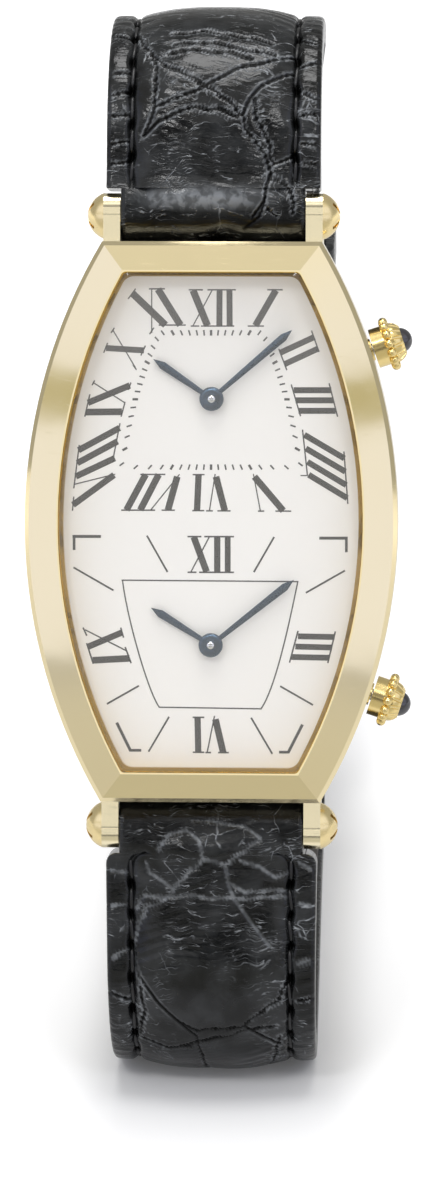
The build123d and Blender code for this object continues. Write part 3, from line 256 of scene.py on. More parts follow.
def make_hide():
    """Glossy scaled hide: creases darkened as painted shade, crackle and stretch lines painted pale as
    glints, wrinkles and pores.

    It reads the piece's own attributes: along, in millimetres across and along the strap; the
    crease mask, painted shade; glint, painted highlights; and calm, which is 1 on a smooth scale.
    """
    tree, given, result = new_group(
        "scaled_hide",
        {"Hide": COLOUR, "Glint_and_tone": COLOUR, "Gloss": NUMBER},
        {"Colour": COLOUR, "Roughness": NUMBER, "Metallic": NUMBER, "Normal": VECTOR},
    )
    along = attribute(tree, "along", "Vector")
    crease_shade, glint, calm = (attribute(tree, name) for name in ("crease_shade", "glint", "calm"))
    warp = add_node(tree, "ShaderNodeTexNoise", Vector=along, Scale=0.55, Detail=3.0).outputs["Color"]
    bent = vector_math(tree, "MULTIPLY_ADD", warp, (1.3, 1.3, 0.0), along)
    crackle = add_node(
        tree, "ShaderNodeTexVoronoi", {"feature": "DISTANCE_TO_EDGE"}, Vector=bent, Scale=0.5,
    ).outputs["Distance"]
    crackled = ramp(tree, noise(tree, along, 0.30, 2.0), 0.54, 0.64)
    lines = times(tree, ramp(tree, crackle, 0.0, 0.028, 1.0, 0.0), crackled)
    for turn, stretch, scale, width, shift in STRETCH_LINES:
        moved = vector_math(tree, "ADD", bent, (shift, 2 * shift, 0.0))
        place = ramp(tree, noise(tree, moved, 0.22, 1.0), 0.50, 0.58)
        stretched = times(tree, ridges(tree, moved, turn, stretch, scale, width), place)
        lines = math_node(tree, "MAXIMUM", lines, stretched)
    broken = ramp(tree, noise(tree, bent, 1.3, 2.0), 0.40, 0.60)
    glints = times(tree, glint, math_node(tree, "MULTIPLY_ADD", broken, 0.6, 0.4))
    lines = math_node(tree, "MAXIMUM", times(tree, lines, broken), glints)
    lines = times(tree, lines, math_node(tree, "SUBTRACT", 1.0, calm))
    wide = add_node(tree, "ShaderNodeSeparateXYZ", Vector=along).outputs[0]
    edge = ramp(tree, math_node(tree, "ABSOLUTE", wide), 5.1, 5.9)
    wrinkle = noise(tree, pull(tree, bent, (0.35, 2.2, 1.0)), 1.0, 4.0, 0.6)
    cuts = noise(tree, pull(tree, bent, (0.5, 4.0, 1.0)), 1.0, 3.0)
    relief = math_node(tree, "MULTIPLY_ADD", times(tree, cuts, edge), 1.2, wrinkle)
    relief = times(tree, relief, math_node(tree, "MULTIPLY_ADD", calm, -0.75, 1.0))
    tone = ramp(tree, noise(tree, along, 0.35, 3.0), 0.35, 0.70, 0.0, 0.12)
    paler_tone = blend_colour(tree, 0.5, given.outputs["Hide"], given.outputs["Glint_and_tone"])
    hide = blend_colour(tree, tone, given.outputs["Hide"], paler_tone)
    # Painted highlights: the crackle and stretch lines and the glint mask turn the hide pale grey.
    painted_sheen = blend_colour(tree, times(tree, lines, 0.75), hide, given.outputs["Glint_and_tone"])
    # Painted shade: creases, the stitch groove and pits, and the band across the neck go near black.
    colour = blend_colour(tree, crease_shade, painted_sheen, (0.002, 0.002, 0.002, 1.0))
    tree.links.new(colour, result.inputs["Colour"])
    rough = math_node(tree, "MULTIPLY_ADD", wrinkle, 0.09, given.outputs["Gloss"])
    rough = math_node(tree, "MULTIPLY_ADD", crease_shade, 0.35, rough)
    tree.links.new(rough, result.inputs["Roughness"])
    # The same painted shade makes those places metallic black, so that they reflect almost nothing.
    tree.links.new(times(tree, crease_shade, 0.9, clamp=True), result.inputs["Metallic"])
    height = math_node(tree, "MULTIPLY_ADD", lines, 0.35, times(tree, relief, 0.5))
    height = math_node(tree, "MULTIPLY_ADD", noise(tree, along, 7.0, 3.0), 0.04, height)
    add_bump(tree, 1.0, 0.00011, height, result.inputs["Normal"])
    return tree


def make_lacquer():
    """Silvered dial: faint cloudiness and a fine satin grain."""
    tree, given, result = new_group(
        "silvered_lacquer", {"Tint": COLOUR, "Shade": COLOUR},
        {"Colour": COLOUR, "Roughness": NUMBER, "Normal": VECTOR},
    )
    point = object_point(tree)
    cloud = noise(tree, point, 90.0, 2.0)
    shade = blend_colour(tree, times(tree, cloud, 0.35), given.outputs["Tint"], given.outputs["Shade"])
    tree.links.new(shade, result.inputs["Colour"])
    tree.links.new(ramp(tree, cloud, 0.2, 0.8, 0.38, 0.5), result.inputs["Roughness"])
    add_bump(tree, 0.12, 0.00001, noise(tree, point, 9000.0, 2.0), result.inputs["Normal"])
    return tree


def make_brushed():
    """Brushed or grained metal of the inner pieces, with light tarnish."""
    tree, given, result = new_group(
        "brushed_works", {"Tint": COLOUR, "Polish": NUMBER},
        {"Colour": COLOUR, "Roughness": NUMBER, "Normal": VECTOR},
    )
    point = object_point(tree)
    streak = noise(tree, pull(tree, point, (300.0, 6000.0, 6000.0)), 1.0, 3.0)
    tarnish = times(tree, noise(tree, point, 400.0, 3.0), 0.3)
    shade = blend_colour(tree, tarnish, given.outputs["Tint"], (0.4, 0.33, 0.22, 1.0))
    tree.links.new(shade, result.inputs["Colour"])
    rough = math_node(tree, "MULTIPLY_ADD", streak, 0.2, given.outputs["Polish"])
    tree.links.new(rough, result.inputs["Roughness"])
    add_bump(tree, 0.2, 0.00001, streak, result.inputs["Normal"])
    return tree


GROUPS = {
    "polish": make_polish(), "hide": make_hide(), "lacquer": make_lacquer(), "brushed": make_brushed(),
}


def new_material(name, group, given, shader, wired=("Colour", "Roughness", "Normal")):
    """A material whose shader takes its colour, roughness and relief from a shared group."""
    made = bpy.data.materials.new(name)
    made.use_nodes = True
    tree = made.node_tree
    principled = tree.nodes["Principled BSDF"]
    for key, value in shader.items():
        principled.inputs[key].default_value = value
    effect = tree.nodes.new("ShaderNodeGroup")
    effect.node_tree = GROUPS[group]
    for key, value in given.items():
        effect.inputs[key].default_value = value
    sockets = {"Colour": "Base Color", "Roughness": "Roughness", "Normal": "Normal", "Metallic": "Metallic"}
    for key in wired:
        tree.links.new(effect.outputs[key], principled.inputs[sockets[key]])
    return made


def metal(name, tint, polish, wave=1.0, **shader):
    """Polished metal."""
    return new_material(
        name, "polish", {"Tint": (*tint, 1.0), "Polish": polish, "Wave": wave}, {"Metallic": 1.0, **shader},
    )


def works(name, tint, polish):
    """Metal of the movement."""
    return new_material(name, "brushed", {"Tint": (*tint, 1.0), "Polish": polish}, {"Metallic": 1.0})


GOLD = metal("case_gold", (0.93, 0.80, 0.50), 0.06)
BAND_GOLD = metal("band_gold", (0.98, 0.88, 0.61), 0.17)
# Crown gold and screw gold are the case gold made deeper: painted shade for the darker edges of the crowns,
# crown tubes, strap bars and lug screws.
CROWN_GOLD = metal("crown_gold", (0.91, 0.72, 0.32), 0.16)
SCREW_GOLD = metal("screw_gold", (0.94, 0.77, 0.41), 0.22)


LEDGE_BELOW = 1.02


def make_bezel_gold():
    """Case gold, with a deeper gold painted on the upright walls and the low ledge inside the opening, as
    painted shade.
    """
    made = metal("bezel_gold", (0.93, 0.80, 0.50), 0.06)
    tree = made.node_tree
    normal = tree.nodes.new("ShaderNodeNewGeometry").outputs["True Normal"]
    facing = vector_math(tree, "DOT_PRODUCT", normal, tuple(OUT))
    upright = math_node(tree, "LESS_THAN", math_node(tree, "ABSOLUTE", facing), 0.3)
    low = math_node(tree, "LESS_THAN", distance_along(tree, OUT, DIAL), LEDGE_BELOW * MM)
    ledge = times(tree, low, math_node(tree, "GREATER_THAN", facing, 0.9))
    inside = math_node(tree, "MAXIMUM", upright, ledge)
    effect = next(node for node in tree.nodes if node.type == "GROUP")
    # Painted shade: the walls and ledge inside the opening take a deep, dark gold.
    colour = blend_colour(tree, inside, effect.outputs["Colour"], (0.62, 0.39, 0.04, 1.0))
    tree.links.new(colour, tree.nodes["Principled BSDF"].inputs["Base Color"])
    return made


BEZEL_GOLD = make_bezel_gold()
STEEL = works("works_steel", (0.70, 0.71, 0.73), 0.22)
PLATED = works("plated_brass", (0.76, 0.72, 0.64), 0.3)
GILT = works("gilt_wheels", (0.86, 0.68, 0.34), 0.25)
HOLDER = works("holder_brass", (0.62, 0.55, 0.42), 0.4)
PIN_STEEL = metal("pin_steel", (0.75, 0.76, 0.78), 0.1)
STONE = new_material(
    "blue_stone", "polish", {"Tint": (0.004, 0.007, 0.018, 1.0), "Polish": 0.03, "Wave": 0.2},
    {"Metallic": 0.0, "IOR": 1.76, "Coat Weight": 0.2, "Coat Roughness": 0.02},
)
LACQUER = new_material(
    "dial_lacquer", "lacquer", {"Tint": (0.87, 0.85, 0.805, 1.0), "Shade": (0.81, 0.79, 0.745, 1.0)},
    {"Specular IOR Level": 0.3},
)


# Heights up the dial, in mm, over which the ink turns grey: a painted sheen.
INK_SHEEN_BAND = (10.1, 10.7)


def make_ink():
    """Printed ink: dark olive over most of the dial, and a paler grey near its upper end, a painted sheen."""
    made = new_material("dial_ink", "lacquer", {}, {"Roughness": 0.5}, wired=("Roughness",))
    tree = made.node_tree
    # Painted sheen: the ink turns grey over this band near the dial's upper end.
    painted_sheen = ramp(tree, distance_along(tree, UP, DIAL), INK_SHEEN_BAND[0] * MM, INK_SHEEN_BAND[1] * MM)
    colour = blend_colour(tree, painted_sheen, (0.020, 0.017, 0.010, 1.0), (0.060, 0.056, 0.048, 1.0))
    tree.links.new(colour, tree.nodes["Principled BSDF"].inputs["Base Color"])
    return made


INK = make_ink()
HIDE = new_material(
    "black_scaled_hide", "hide",
    {"Hide": (0.0025, 0.0028, 0.003, 1.0), "Glint_and_tone": (0.34, 0.36, 0.38, 1.0), "Gloss": 0.06},
    {"Specular IOR Level": 0.32}, wired=("Colour", "Roughness", "Metallic", "Normal"),
)
CALF = new_material(
    "lining_calf", "hide",
    {"Hide": (0.045, 0.040, 0.036, 1.0), "Glint_and_tone": (0.07, 0.062, 0.055, 1.0), "Gloss": 0.5}, {},
)
THREAD = new_material(
    "waxed_thread", "hide",
    {"Hide": (0.006, 0.006, 0.007, 1.0), "Glint_and_tone": (0.02, 0.02, 0.022, 1.0), "Gloss": 0.3}, {},
)
SEAL = new_material(
    "amber_seal", "lacquer", {"Tint": (0.40, 0.25, 0.05, 1.0), "Shade": (0.30, 0.18, 0.03, 1.0)}, {},
)


def make_glass():
    """Sapphire: a clear mirror that lets most light through, with the faintest smears."""
    made = new_material(
        "sapphire_glass", "polish", {"Tint": (1.0, 1.0, 1.0, 1.0), "Polish": 0.0, "Wave": 0.0},
        {"Metallic": 1.0, "Roughness": 0.0, "Alpha": 0.06, "Base Color": (1.0, 1.0, 1.0, 1.0)}, wired=(),
    )
    tree = made.node_tree
    smear = ramp(tree, noise(tree, object_point(tree), 60.0, 2.0), 0.3, 0.7, 0.0, 0.03)
    tree.links.new(smear, tree.nodes["Principled BSDF"].inputs["Roughness"])
    return made


GLASS = make_glass()


def blued(name, hub, angle):
    """Blued steel of one hand: two facets that fall away from the line down its middle."""
    made = metal(name, (0.035, 0.075, 0.125), 0.2, 0.3)
    tree = made.node_tree
    line = math.cos(math.radians(90 + angle)) * ACROSS + math.sin(math.radians(90 + angle)) * UP
    side = np.cross(line, OUT)
    offset = math_node(tree, "ABSOLUTE", distance_along(tree, side, watch((0.0, hub, 0.0))))
    add_bump(tree, 1.0, 1.0, times(tree, offset, -0.2), tree.nodes["Principled BSDF"].inputs["Normal"])
    return made


HUB = 8.7
HAND_ANGLES = {"upper": (55.9, -49.3), "lower": (58.3, -51.6)}
finishes = {
    "case_band": BAND_GOLD, "bezel": BEZEL_GOLD, "crystal": GLASS, "dial": LACQUER, "movement_holder": HOLDER,
    "case_back": GOLD, "case_gaskets": SEAL, "back_screws": STEEL, "strap_bars": CROWN_GOLD,
    "lug_screws": SCREW_GOLD, "crown_tubes": CROWN_GOLD, "buckle_frame": GOLD, "buckle_tongue": GOLD,
    "buckle_bar": STEEL,
}
for side_name, hub in (("upper", HUB), ("lower", -HUB)):
    hour, minute = HAND_ANGLES[side_name]
    finishes.update({
        f"{side_name}_crown": CROWN_GOLD, f"{side_name}_cabochon": STONE, f"{side_name}_stem": STEEL,
        f"{side_name}_hour_hand": blued(f"blued_hour_{side_name}", hub, hour),
        f"{side_name}_minute_hand": blued(f"blued_minute_{side_name}", hub, minute),
    })
    for piece, finish in {
        "mainplate": PLATED, "train_bridge": PLATED, "balance_cock": PLATED, "barrel": GILT,
        "ratchet_wheel": STEEL, "crown_wheel": STEEL, "center_wheel": PIN_STEEL, "third_wheel": GILT,
        "fourth_wheel": GILT, "escape_wheel": STEEL, "pallet_fork": STEEL, "balance_wheel": GILT,
        "hairspring": STEEL, "minute_wheel": GILT, "hour_wheel": GILT,
    }.items():
        finishes[f"{side_name}_{piece}"] = finish
for name, finish in finishes.items():
    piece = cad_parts[name]
    piece.data.materials.clear()
    piece.data.materials.append(finish)


# Mesh helpers


def grid_faces(rows, columns, wrap=False):
    """Quads of a grid of points, closed across its columns if wrap."""
    row, column = np.meshgrid(np.arange(rows - 1), np.arange(columns if wrap else columns - 1), indexing="ij")
    here, after = row * columns + column, row * columns + (column + 1) % columns
    return np.stack([here, after, after + columns, here + columns], -1).reshape(-1, 4)


def tube_faces(rows, columns):
    """Faces of a tube of rings of points, with a flat cap at each end."""
    ring = np.arange(columns)
    caps = [ring[::-1].tolist()], [(ring + (rows - 1) * columns).tolist()]
    return [grid_faces(rows, columns, wrap=True), *caps]


def new_piece(name, chunks, material, body, smooth=True, values=None):
    """A mesh of several (points in metres, list of face arrays) chunks, with point attributes."""
    points, faces, start = [], [], 0
    for chunk_points, chunk_faces in chunks:
        flat = chunk_points.reshape(-1, 3)
        for block in chunk_faces:
            faces.extend((np.asarray(block) + start).tolist())
        points.append(flat)
        start += len(flat)
    mesh = bpy.data.meshes.new(name)
    mesh.from_pydata(np.concatenate(points).tolist(), [], faces)
    for key, (kind, data) in (values or {}).items():
        layer = mesh.attributes.new(key, kind, "POINT")
        field = "vector" if kind == "FLOAT_VECTOR" else "value"
        layer.data.foreach_set(field, np.asarray(data, np.float32).ravel())
    work = bmesh.new()
    work.from_mesh(mesh)
    bmesh.ops.remove_doubles(work, verts=work.verts, dist=1e-8)
    bmesh.ops.recalc_face_normals(work, faces=work.faces)
    work.to_mesh(mesh)
    work.free()
    mesh.polygons.foreach_set("use_smooth", [smooth] * len(mesh.polygons))
    mesh.materials.append(material)
    made = bpy.data.objects.new(name, mesh)
    bpy.context.scene.collection.objects.link(made)
    if body:
        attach(made, body)
    return made


# Dial print

INK_LOW, INK_HIGH = 0.002, 0.010


def bars(strokes, origin, scale):
    """Flat printed bars: each runs between two points, square across its width.

    A bar's corners are its ends plus and minus half its width along the normal to its line.
    Strokes are (x0, y0, x1, y1, width) on an enlarged view, with its corner and scale given.
    """
    strokes = np.asarray(strokes, float)
    ends = strokes[:, :4].reshape(-1, 2, 2) / scale + origin
    ends = (ends - PRINT_PIXEL) * (PIXEL, -PIXEL)
    cosine, sine = math.cos(CAMERA_ROLL), math.sin(CAMERA_ROLL)
    ends = ends @ np.array([[cosine, sine], [-sine, cosine]]) / (math.cos(CAMERA_SIDE), 1.0)
    half = strokes[:, 4] / scale * PIXEL / 2
    line = ends[:, 1] - ends[:, 0]
    normal = np.stack([-line[:, 1], line[:, 0]], -1) / np.linalg.norm(line, axis=1)[:, None]
    normal *= half[:, None]
    return np.stack([ends[:, 0] + normal, ends[:, 0] - normal, ends[:, 1] - normal, ends[:, 1] + normal], 1)


def print_bars(name, corners):
    """Thin raised slabs over four-cornered outlines, 8 points and 6 faces each."""
    count = len(corners)
    low = np.concatenate([corners, np.full((count, 4, 1), INK_LOW)], -1)
    high = np.concatenate([corners, np.full((count, 4, 1), INK_HIGH)], -1)
    points = watch(np.concatenate([low, high], 1))
    box = np.array([[0, 1, 2, 3], [7, 6, 5, 4], [0, 4, 5, 1], [1, 5, 6, 2], [2, 6, 7, 3], [3, 7, 4, 0]])
    faces = (np.arange(count)[:, None, None] * 8 + box).reshape(-1, 4)
    return new_piece(name, [(points, [faces])], INK, "head", smooth=False)


UPPER_NUMERALS = [
    (672, 137, 745, 315, 36), (768, 137, 672, 315, 6), (806, 137, 805, 315, 30),
    (856, 137, 857, 315, 30), (650, 134, 722, 134, 7), (745, 134, 888, 134, 7), (660, 317, 703, 317, 7),
    (712, 317, 880, 317, 7), (1090, 137, 987, 315, 34), (1047, 134, 1125, 134, 7),
    (948, 317, 1030, 317, 7), (366, 152, 533, 312, 36), (463, 130, 463, 352, 6),
    (495, 131, 608, 312, 36), (449, 129, 530, 129, 7), (498, 312, 635, 312, 7), (344, 180, 382, 128, 7),
    (452, 358, 474, 325, 7), (232, 428, 424, 440, 30), (267, 338, 380, 526, 6), (220, 452, 240, 402, 7),
    (408, 466, 431, 416, 7), (257, 352, 274, 326, 7), (368, 512, 386, 538, 7), (130, 752, 312, 750, 34),
    (140, 705, 352, 617, 32), (166, 602, 326, 704, 6), (124, 775, 150, 662, 7), (308, 775, 328, 700, 7),
    (344, 640, 358, 602, 7), (161, 616, 174, 592, 7), (92, 945, 300, 832, 32), (86, 1010, 290, 900, 32),
    (78, 1078, 276, 985, 32), (70, 1118, 278, 1066, 6), (64, 1222, 272, 1070, 32),
    (68, 1138, 96, 918, 7), (264, 1006, 302, 808, 7), (61, 1252, 68, 1180, 7),
    (432, 1068, 335, 1247, 34), (498, 1068, 405, 1247, 34), (604, 1066, 458, 1247, 6),
    (592, 1078, 545, 1247, 34), (405, 1067, 532, 1067, 7), (308, 1248, 480, 1248, 7),
    (513, 1248, 580, 1248, 7), (700, 1068, 692, 1249, 32), (670, 1068, 730, 1068, 7),
    (668, 1250, 728, 1250, 7), (788, 1078, 832, 1249, 34), (784, 1064, 755, 1249, 6),
    (738, 1251, 772, 1251, 7), (795, 1251, 862, 1251, 7), (982, 1078, 1128, 1250, 34),
    (977, 1064, 1012, 1250, 6), (1000, 1252, 1032, 1252, 7), (1088, 1252, 1168, 1252, 7),
    (1234, 866, 1436, 985, 30), (1242, 935, 1441, 1052, 30), (1250, 1003, 1446, 1120, 30),
    (1256, 1068, 1451, 1186, 30), (1225, 840, 1250, 1072, 7), (1434, 950, 1454, 1215, 7),
    (1215, 1072, 1252, 1072, 6), (1180, 641, 1370, 641, 30), (1190, 692, 1381, 692, 30),
    (1205, 745, 1392, 745, 30), (1168, 612, 1215, 772, 7), (1359, 606, 1402, 775, 7),
    (1112, 452, 1285, 372, 30), (1133, 510, 1305, 430, 30), (1105, 432, 1146, 540, 7),
    (1270, 340, 1308, 448, 7),
]
LOWER_NUMERALS = [
    (688, 128, 745, 283, 30), (757, 128, 676, 283, 6), (793, 128, 793, 284, 28),
    (840, 128, 840, 284, 26), (660, 126, 722, 126, 7), (735, 126, 868, 126, 7), (660, 286, 700, 286, 7),
    (712, 286, 868, 286, 7), (1155, 572, 1318, 575, 26), (1143, 618, 1307, 622, 26),
    (1125, 665, 1295, 668, 26), (1155, 548, 1117, 690, 7), (1322, 550, 1288, 692, 7),
    (705, 938, 708, 1093, 28), (683, 937, 735, 937, 7), (683, 1094, 735, 1094, 7),
    (785, 945, 820, 1095, 30), (781, 930, 748, 1095, 6), (740, 1095, 765, 1095, 7),
    (797, 1095, 845, 1095, 7), (212, 622, 368, 556, 28), (200, 545, 388, 640, 6),
    (234, 682, 400, 673, 30), (207, 605, 237, 698, 7), (380, 622, 407, 695, 7), (360, 535, 373, 580, 7),
    (191, 535, 208, 572, 7), (478, 122, 570, 285, 8), (1048, 127, 957, 285, 8), (148, 265, 328, 368, 8),
    (1365, 277, 1190, 377, 8), (298, 878, 442, 796, 8), (1075, 796, 1222, 880, 8),
    (577, 935, 485, 1092, 8), (945, 938, 1040, 1100, 8), (144, 126, 272, 126, 13),
    (151, 120, 151, 187, 12), (1250, 132, 1377, 132, 13), (1371, 126, 1371, 195, 12),
    (342, 962, 405, 1090, 13), (400, 1086, 452, 1086, 12), (1175, 968, 1110, 1096, 13),
    (1116, 1092, 1070, 1092, 12),
]
VIEW_UPPER = ((60.0, 265.0), 5.058)
VIEW_LOWER = ((40.0, 510.0), 4.48)
print_bars("upper_numerals", bars(UPPER_NUMERALS, *VIEW_UPPER))
print_bars("lower_numerals", bars(LOWER_NUMERALS, *VIEW_LOWER))


def chain(points, width):
    """The bars of a broken line."""
    points = np.asarray(points, float)
    return np.column_stack([points[:-1], points[1:], np.full(len(points) - 1, width)])


# Frame round the lower time: straight top and bottom, and sides that bow out
frame_left = [(368, 322), (396, 470), (440, 655), (490, 795), (533, 893)]
frame_right = [(1154, 326), (1124, 470), (1080, 655), (1040, 785), (990, 898)]
t = np.linspace(0, 1, 25)[:, None]


def bowed(points):
    """A smooth curve through five points, by a polynomial in the share of the way along."""
    points = np.asarray(points, float)
    share = np.linspace(0, 1, len(points))
    fit = np.polyfit(share, points, 3)
    return sum(fit[k] * t ** (3 - k) for k in range(4))


frame_bars = np.concatenate([
    chain(bowed(frame_left), 6), chain(bowed(frame_right), 6),
    [(364, 322, 1156, 327, 6), (531, 892, 992, 898, 6)],
])
print_bars("lower_frame", bars(frame_bars, *VIEW_LOWER))

# Minute track: 60 ticks, each on its ray from the hub, where the ray meets the track's outline
hub_view = np.array([763.0, 687.0])
right = np.array([
    (763, 351), (1012, 351), (1042, 388), (1074, 468), (1100, 540), (1126, 620), (1148, 692), (1169, 780),
    (1188, 880), (1203, 960), (1218, 1030), (763, 1030),
], float) - hub_view
fine = np.linspace(0, len(right) - 1, 4001)
outline = np.stack([np.interp(fine, np.arange(len(right)), right[:, k]) for k in (0, 1)], -1)
outline_angle = np.arctan2(outline[:, 0], -outline[:, 1])
tick_angle = np.radians(np.arange(60) * 6.0)
folded = np.where(tick_angle > math.pi, 2 * math.pi - tick_angle, tick_angle)
reach = np.interp(folded, outline_angle, np.linalg.norm(outline, axis=1))
ray = np.stack([np.sin(tick_angle), -np.cos(tick_angle)], -1)
five = np.arange(60) % 5 == 0
inner = hub_view + ray * (reach - 14)[:, None]
outer = hub_view + ray * (reach + 14)[:, None]
ticks = np.column_stack([inner, outer, np.where(five, 12.0, 8.0)])
print_bars("minute_track", bars(ticks, *VIEW_UPPER))


# Hubs


def turned(name, hub, profile, material, body, sides=48):
    """A turned piece: a profile of (radius, height) carried round the hub's axis."""
    profile = np.asarray(profile, float)
    angle = np.linspace(0, 2 * math.pi, sides, endpoint=False)
    points = np.stack([
        profile[:, :1] * np.cos(angle),
        hub + profile[:, :1] * np.sin(angle),
        np.repeat(profile[:, 1:], sides, 1),
    ], -1)
    faces = [grid_faces(len(profile), sides, wrap=True)]
    return new_piece(name, [(watch(points), faces)], material, body)


arc = np.linspace(0, math.pi / 2, 9)
BOSS = [(0.0, 0.55), (0.80, 0.55), (0.84, 0.60)]
BOSS += [(0.84 - 0.16 * (1 - math.cos(a)), 0.62 + 0.13 * math.sin(a)) for a in arc]
BOSS += [(0.50, 0.765), (0.36, 0.72), (0.0, 0.71)]
PIN = [(0.0, 0.70), (0.29, 0.70), (0.29, 0.78), (0.24, 0.83), (0.10, 0.86), (0.0, 0.87)]
for side_name, hub in (("upper", HUB), ("lower", -HUB)):
    minute_hand = f"{side_name}_minute_hand"
    turned(f"{side_name}_hub_cap", hub, BOSS, finishes[minute_hand], minute_hand)
    turned(f"{side_name}_hub_pin", hub, PIN, PIN_STEEL, f"{side_name}_center_wheel", sides=10)


# Strap

BAR = (21.65, -2.2)
SHOULDER = 1.9
SHOULDER_AT = -0.04
SHOULDER_CORNER = {1: 0.12, -1: 0.8}
NECK_HALF = 1.81
NECK_WIDTH = 13.08
START = math.radians(3)
GROOVE_INSET = 1.8
LINING = 0.6
ROUTES = {
    1: [(3.65, 0), (8.2, 100), (12.0, 0), (14.0, 50), (20.0, 0)],
    -1: [(7.15, 0), (7.7, 105), (30.0, 0), (25.0, 60), (15.0, 0)],
}


# Width, half thickness and padding at the shoulder and at the ends of the later legs
SECTIONS = {
    1: ([15.2, 15.2, 13.68, 13.0, 13.0], [1.3, 1.2, 1.2, 1.0, 1.0], [0.75, 0.75, 0.5, 0.08, 0.08]),
    -1: ([15.0, 14.55, 13.5, 13.0, 12.0], [1.3, 1.2, 1.2, 1.0, 1.0], [0.75, 0.75, 0.5, 0.08, 0.08]),
}


def lengths(end):
    """Where each leg of the route ends, from the shoulder."""
    return np.cumsum([leg[0] * math.radians(leg[1]) if leg[1] else leg[0] for leg in ROUTES[end]])


def route(end, s):
    """Middle line (y, z), heading angle: runs go straight, bends turn at length over radius."""
    s = np.asarray(s, float)
    y = np.full(s.shape, end * (BAR[0] + SHOULDER * math.cos(START)))
    z = np.full(s.shape, BAR[1] - SHOULDER * math.sin(START))
    angle, gone = START, 0.0
    ahead = np.full(s.shape, START)
    before = np.minimum(s, 0.0)
    y = y + end * before * math.cos(START)
    z = z - before * math.sin(START)
    for size, turn in ROUTES[end]:
        span = size * math.radians(turn) if turn else size
        part = np.clip(s - gone, 0.0, span if gone + span < lengths(end)[-1] - 1e-9 else None)
        if turn:
            here = angle + part / size
            y = y + end * size * (np.sin(here) - math.sin(angle))
            z = z + size * (np.cos(here) - math.cos(angle))
            ahead = np.where(part > 0, here, ahead)
            angle += math.radians(turn)
        else:
            y = y + end * part * math.cos(angle)
            z = z - part * math.sin(angle)
            ahead = np.where(part > 0, angle, ahead)
        gone += span
    return y, z, ahead


def lay(end, s, x, h):
    """Points at a length along, across and height out of the strap's middle line."""
    y, z, angle = route(end, s)
    return watch(np.stack([x + 0 * y, y + end * h * np.sin(angle), z + h * np.cos(angle)], -1))


def smooth(value, low, high):
    """Smooth step: 0 below low, 1 above high, and 3q^2 - 2q^3 between."""
    q = np.clip((value - low) / (high - low), 0, 1)
    return q * q * (3 - 2 * q)


def along(end, s, column):
    """Width, half thickness or padding at a length, eased between the frame's sections."""
    at = np.append(0, lengths(end)[1:])
    return np.interp(s, at, SECTIONS[end][column])


# Creases of the hide, as broken lines on the enlarged views of each strap half
CREASES = {
    1: (((90.0, 0.0), 6.149), [
        [(1260, 310), (1050, 375), (890, 425), (700, 530), (560, 590), (410, 640)], [(290, 140),
        (330, 250), (440, 380), (600, 450), (700, 525), (800, 590), (880, 650), (940, 720), (950, 790),
        (1040, 900), (1090, 1000), (1105, 1080), (1070, 1230), (1000, 1330)], [(1250, 420), (1130, 470),
        (1050, 520), (990, 590), (940, 700)], [(370, 300), (405, 400), (400, 640), (330, 830)],
        [(330, 830), (420, 740), (520, 690), (650, 660), (780, 670), (900, 720)], [(1010, 600),
        (1020, 700), (1110, 880), (1100, 950), (1130, 1010), (1240, 960)], [(1080, 1080), (1160, 1110),
        (1230, 1180), (1250, 1300)], [(1070, 1230), (1040, 1330), (940, 1400)], [(1070, 1260),
        (1140, 1330)], [(500, 200), (700, 190), (900, 215), (1120, 250)], [(520, 265), (700, 255),
        (900, 290), (1140, 320)], [(480, 320), (640, 300), (820, 320), (1000, 350)], [(120, 430),
        (250, 410)], [(120, 560), (240, 545)], [(130, 700), (240, 690)], [(130, 880), (240, 870)],
        [(120, 170), (250, 190)], [(1300, 200), (1400, 220)], [(1300, 370), (1400, 350)], [(1310, 560),
        (1410, 590)], [(1300, 690), (1410, 700)], [(1300, 880), (1410, 880)], [(1310, 1000),
        (1410, 1020)], [(120, 1000), (240, 990)],
    ]),
    -1: (((85.0, 790.0), 4.0), [
        [(330, 430), (240, 480), (205, 560), (190, 660), (215, 760), (290, 860), (370, 930), (450, 965),
        (620, 950), (700, 900), (780, 850), (815, 760), (822, 600), (820, 430), (700, 430), (560, 435),
        (430, 425), (330, 430)], [(350, 395), (410, 330), (470, 275), (455, 200), (400, 160),
        (330, 180), (290, 240)], [(470, 275), (560, 300), (570, 370), (600, 440), (700, 580),
        (740, 630)], [(560, 300), (620, 250), (700, 190), (640, 150), (520, 130), (430, 125)],
        [(570, 370), (640, 410), (700, 400), (820, 410)], [(620, 280), (700, 310), (760, 350),
        (820, 340)], [(330, 430), (350, 395), (250, 330), (240, 300)], [(205, 480), (240, 430),
        (330, 430)], [(370, 930), (450, 990), (540, 1050), (650, 1100)], [(380, 1030), (500, 1000),
        (640, 965), (760, 960)], [(215, 800), (240, 900), (215, 1000)], [(640, 950), (720, 1000),
        (780, 1040)], [(230, 1020), (330, 1040), (430, 1030)], [(700, 1080), (780, 1010)], [(100, 470),
        (160, 465)], [(100, 330), (165, 340)], [(105, 680), (165, 640)], [(110, 840), (180, 860)],
        [(860, 460), (920, 470)], [(850, 700), (915, 690)], [(850, 860), (910, 850)], [(860, 300),
        (920, 330)],
    ]),
}
SEEN_TO = {1: 18.0, -1: 21.0}


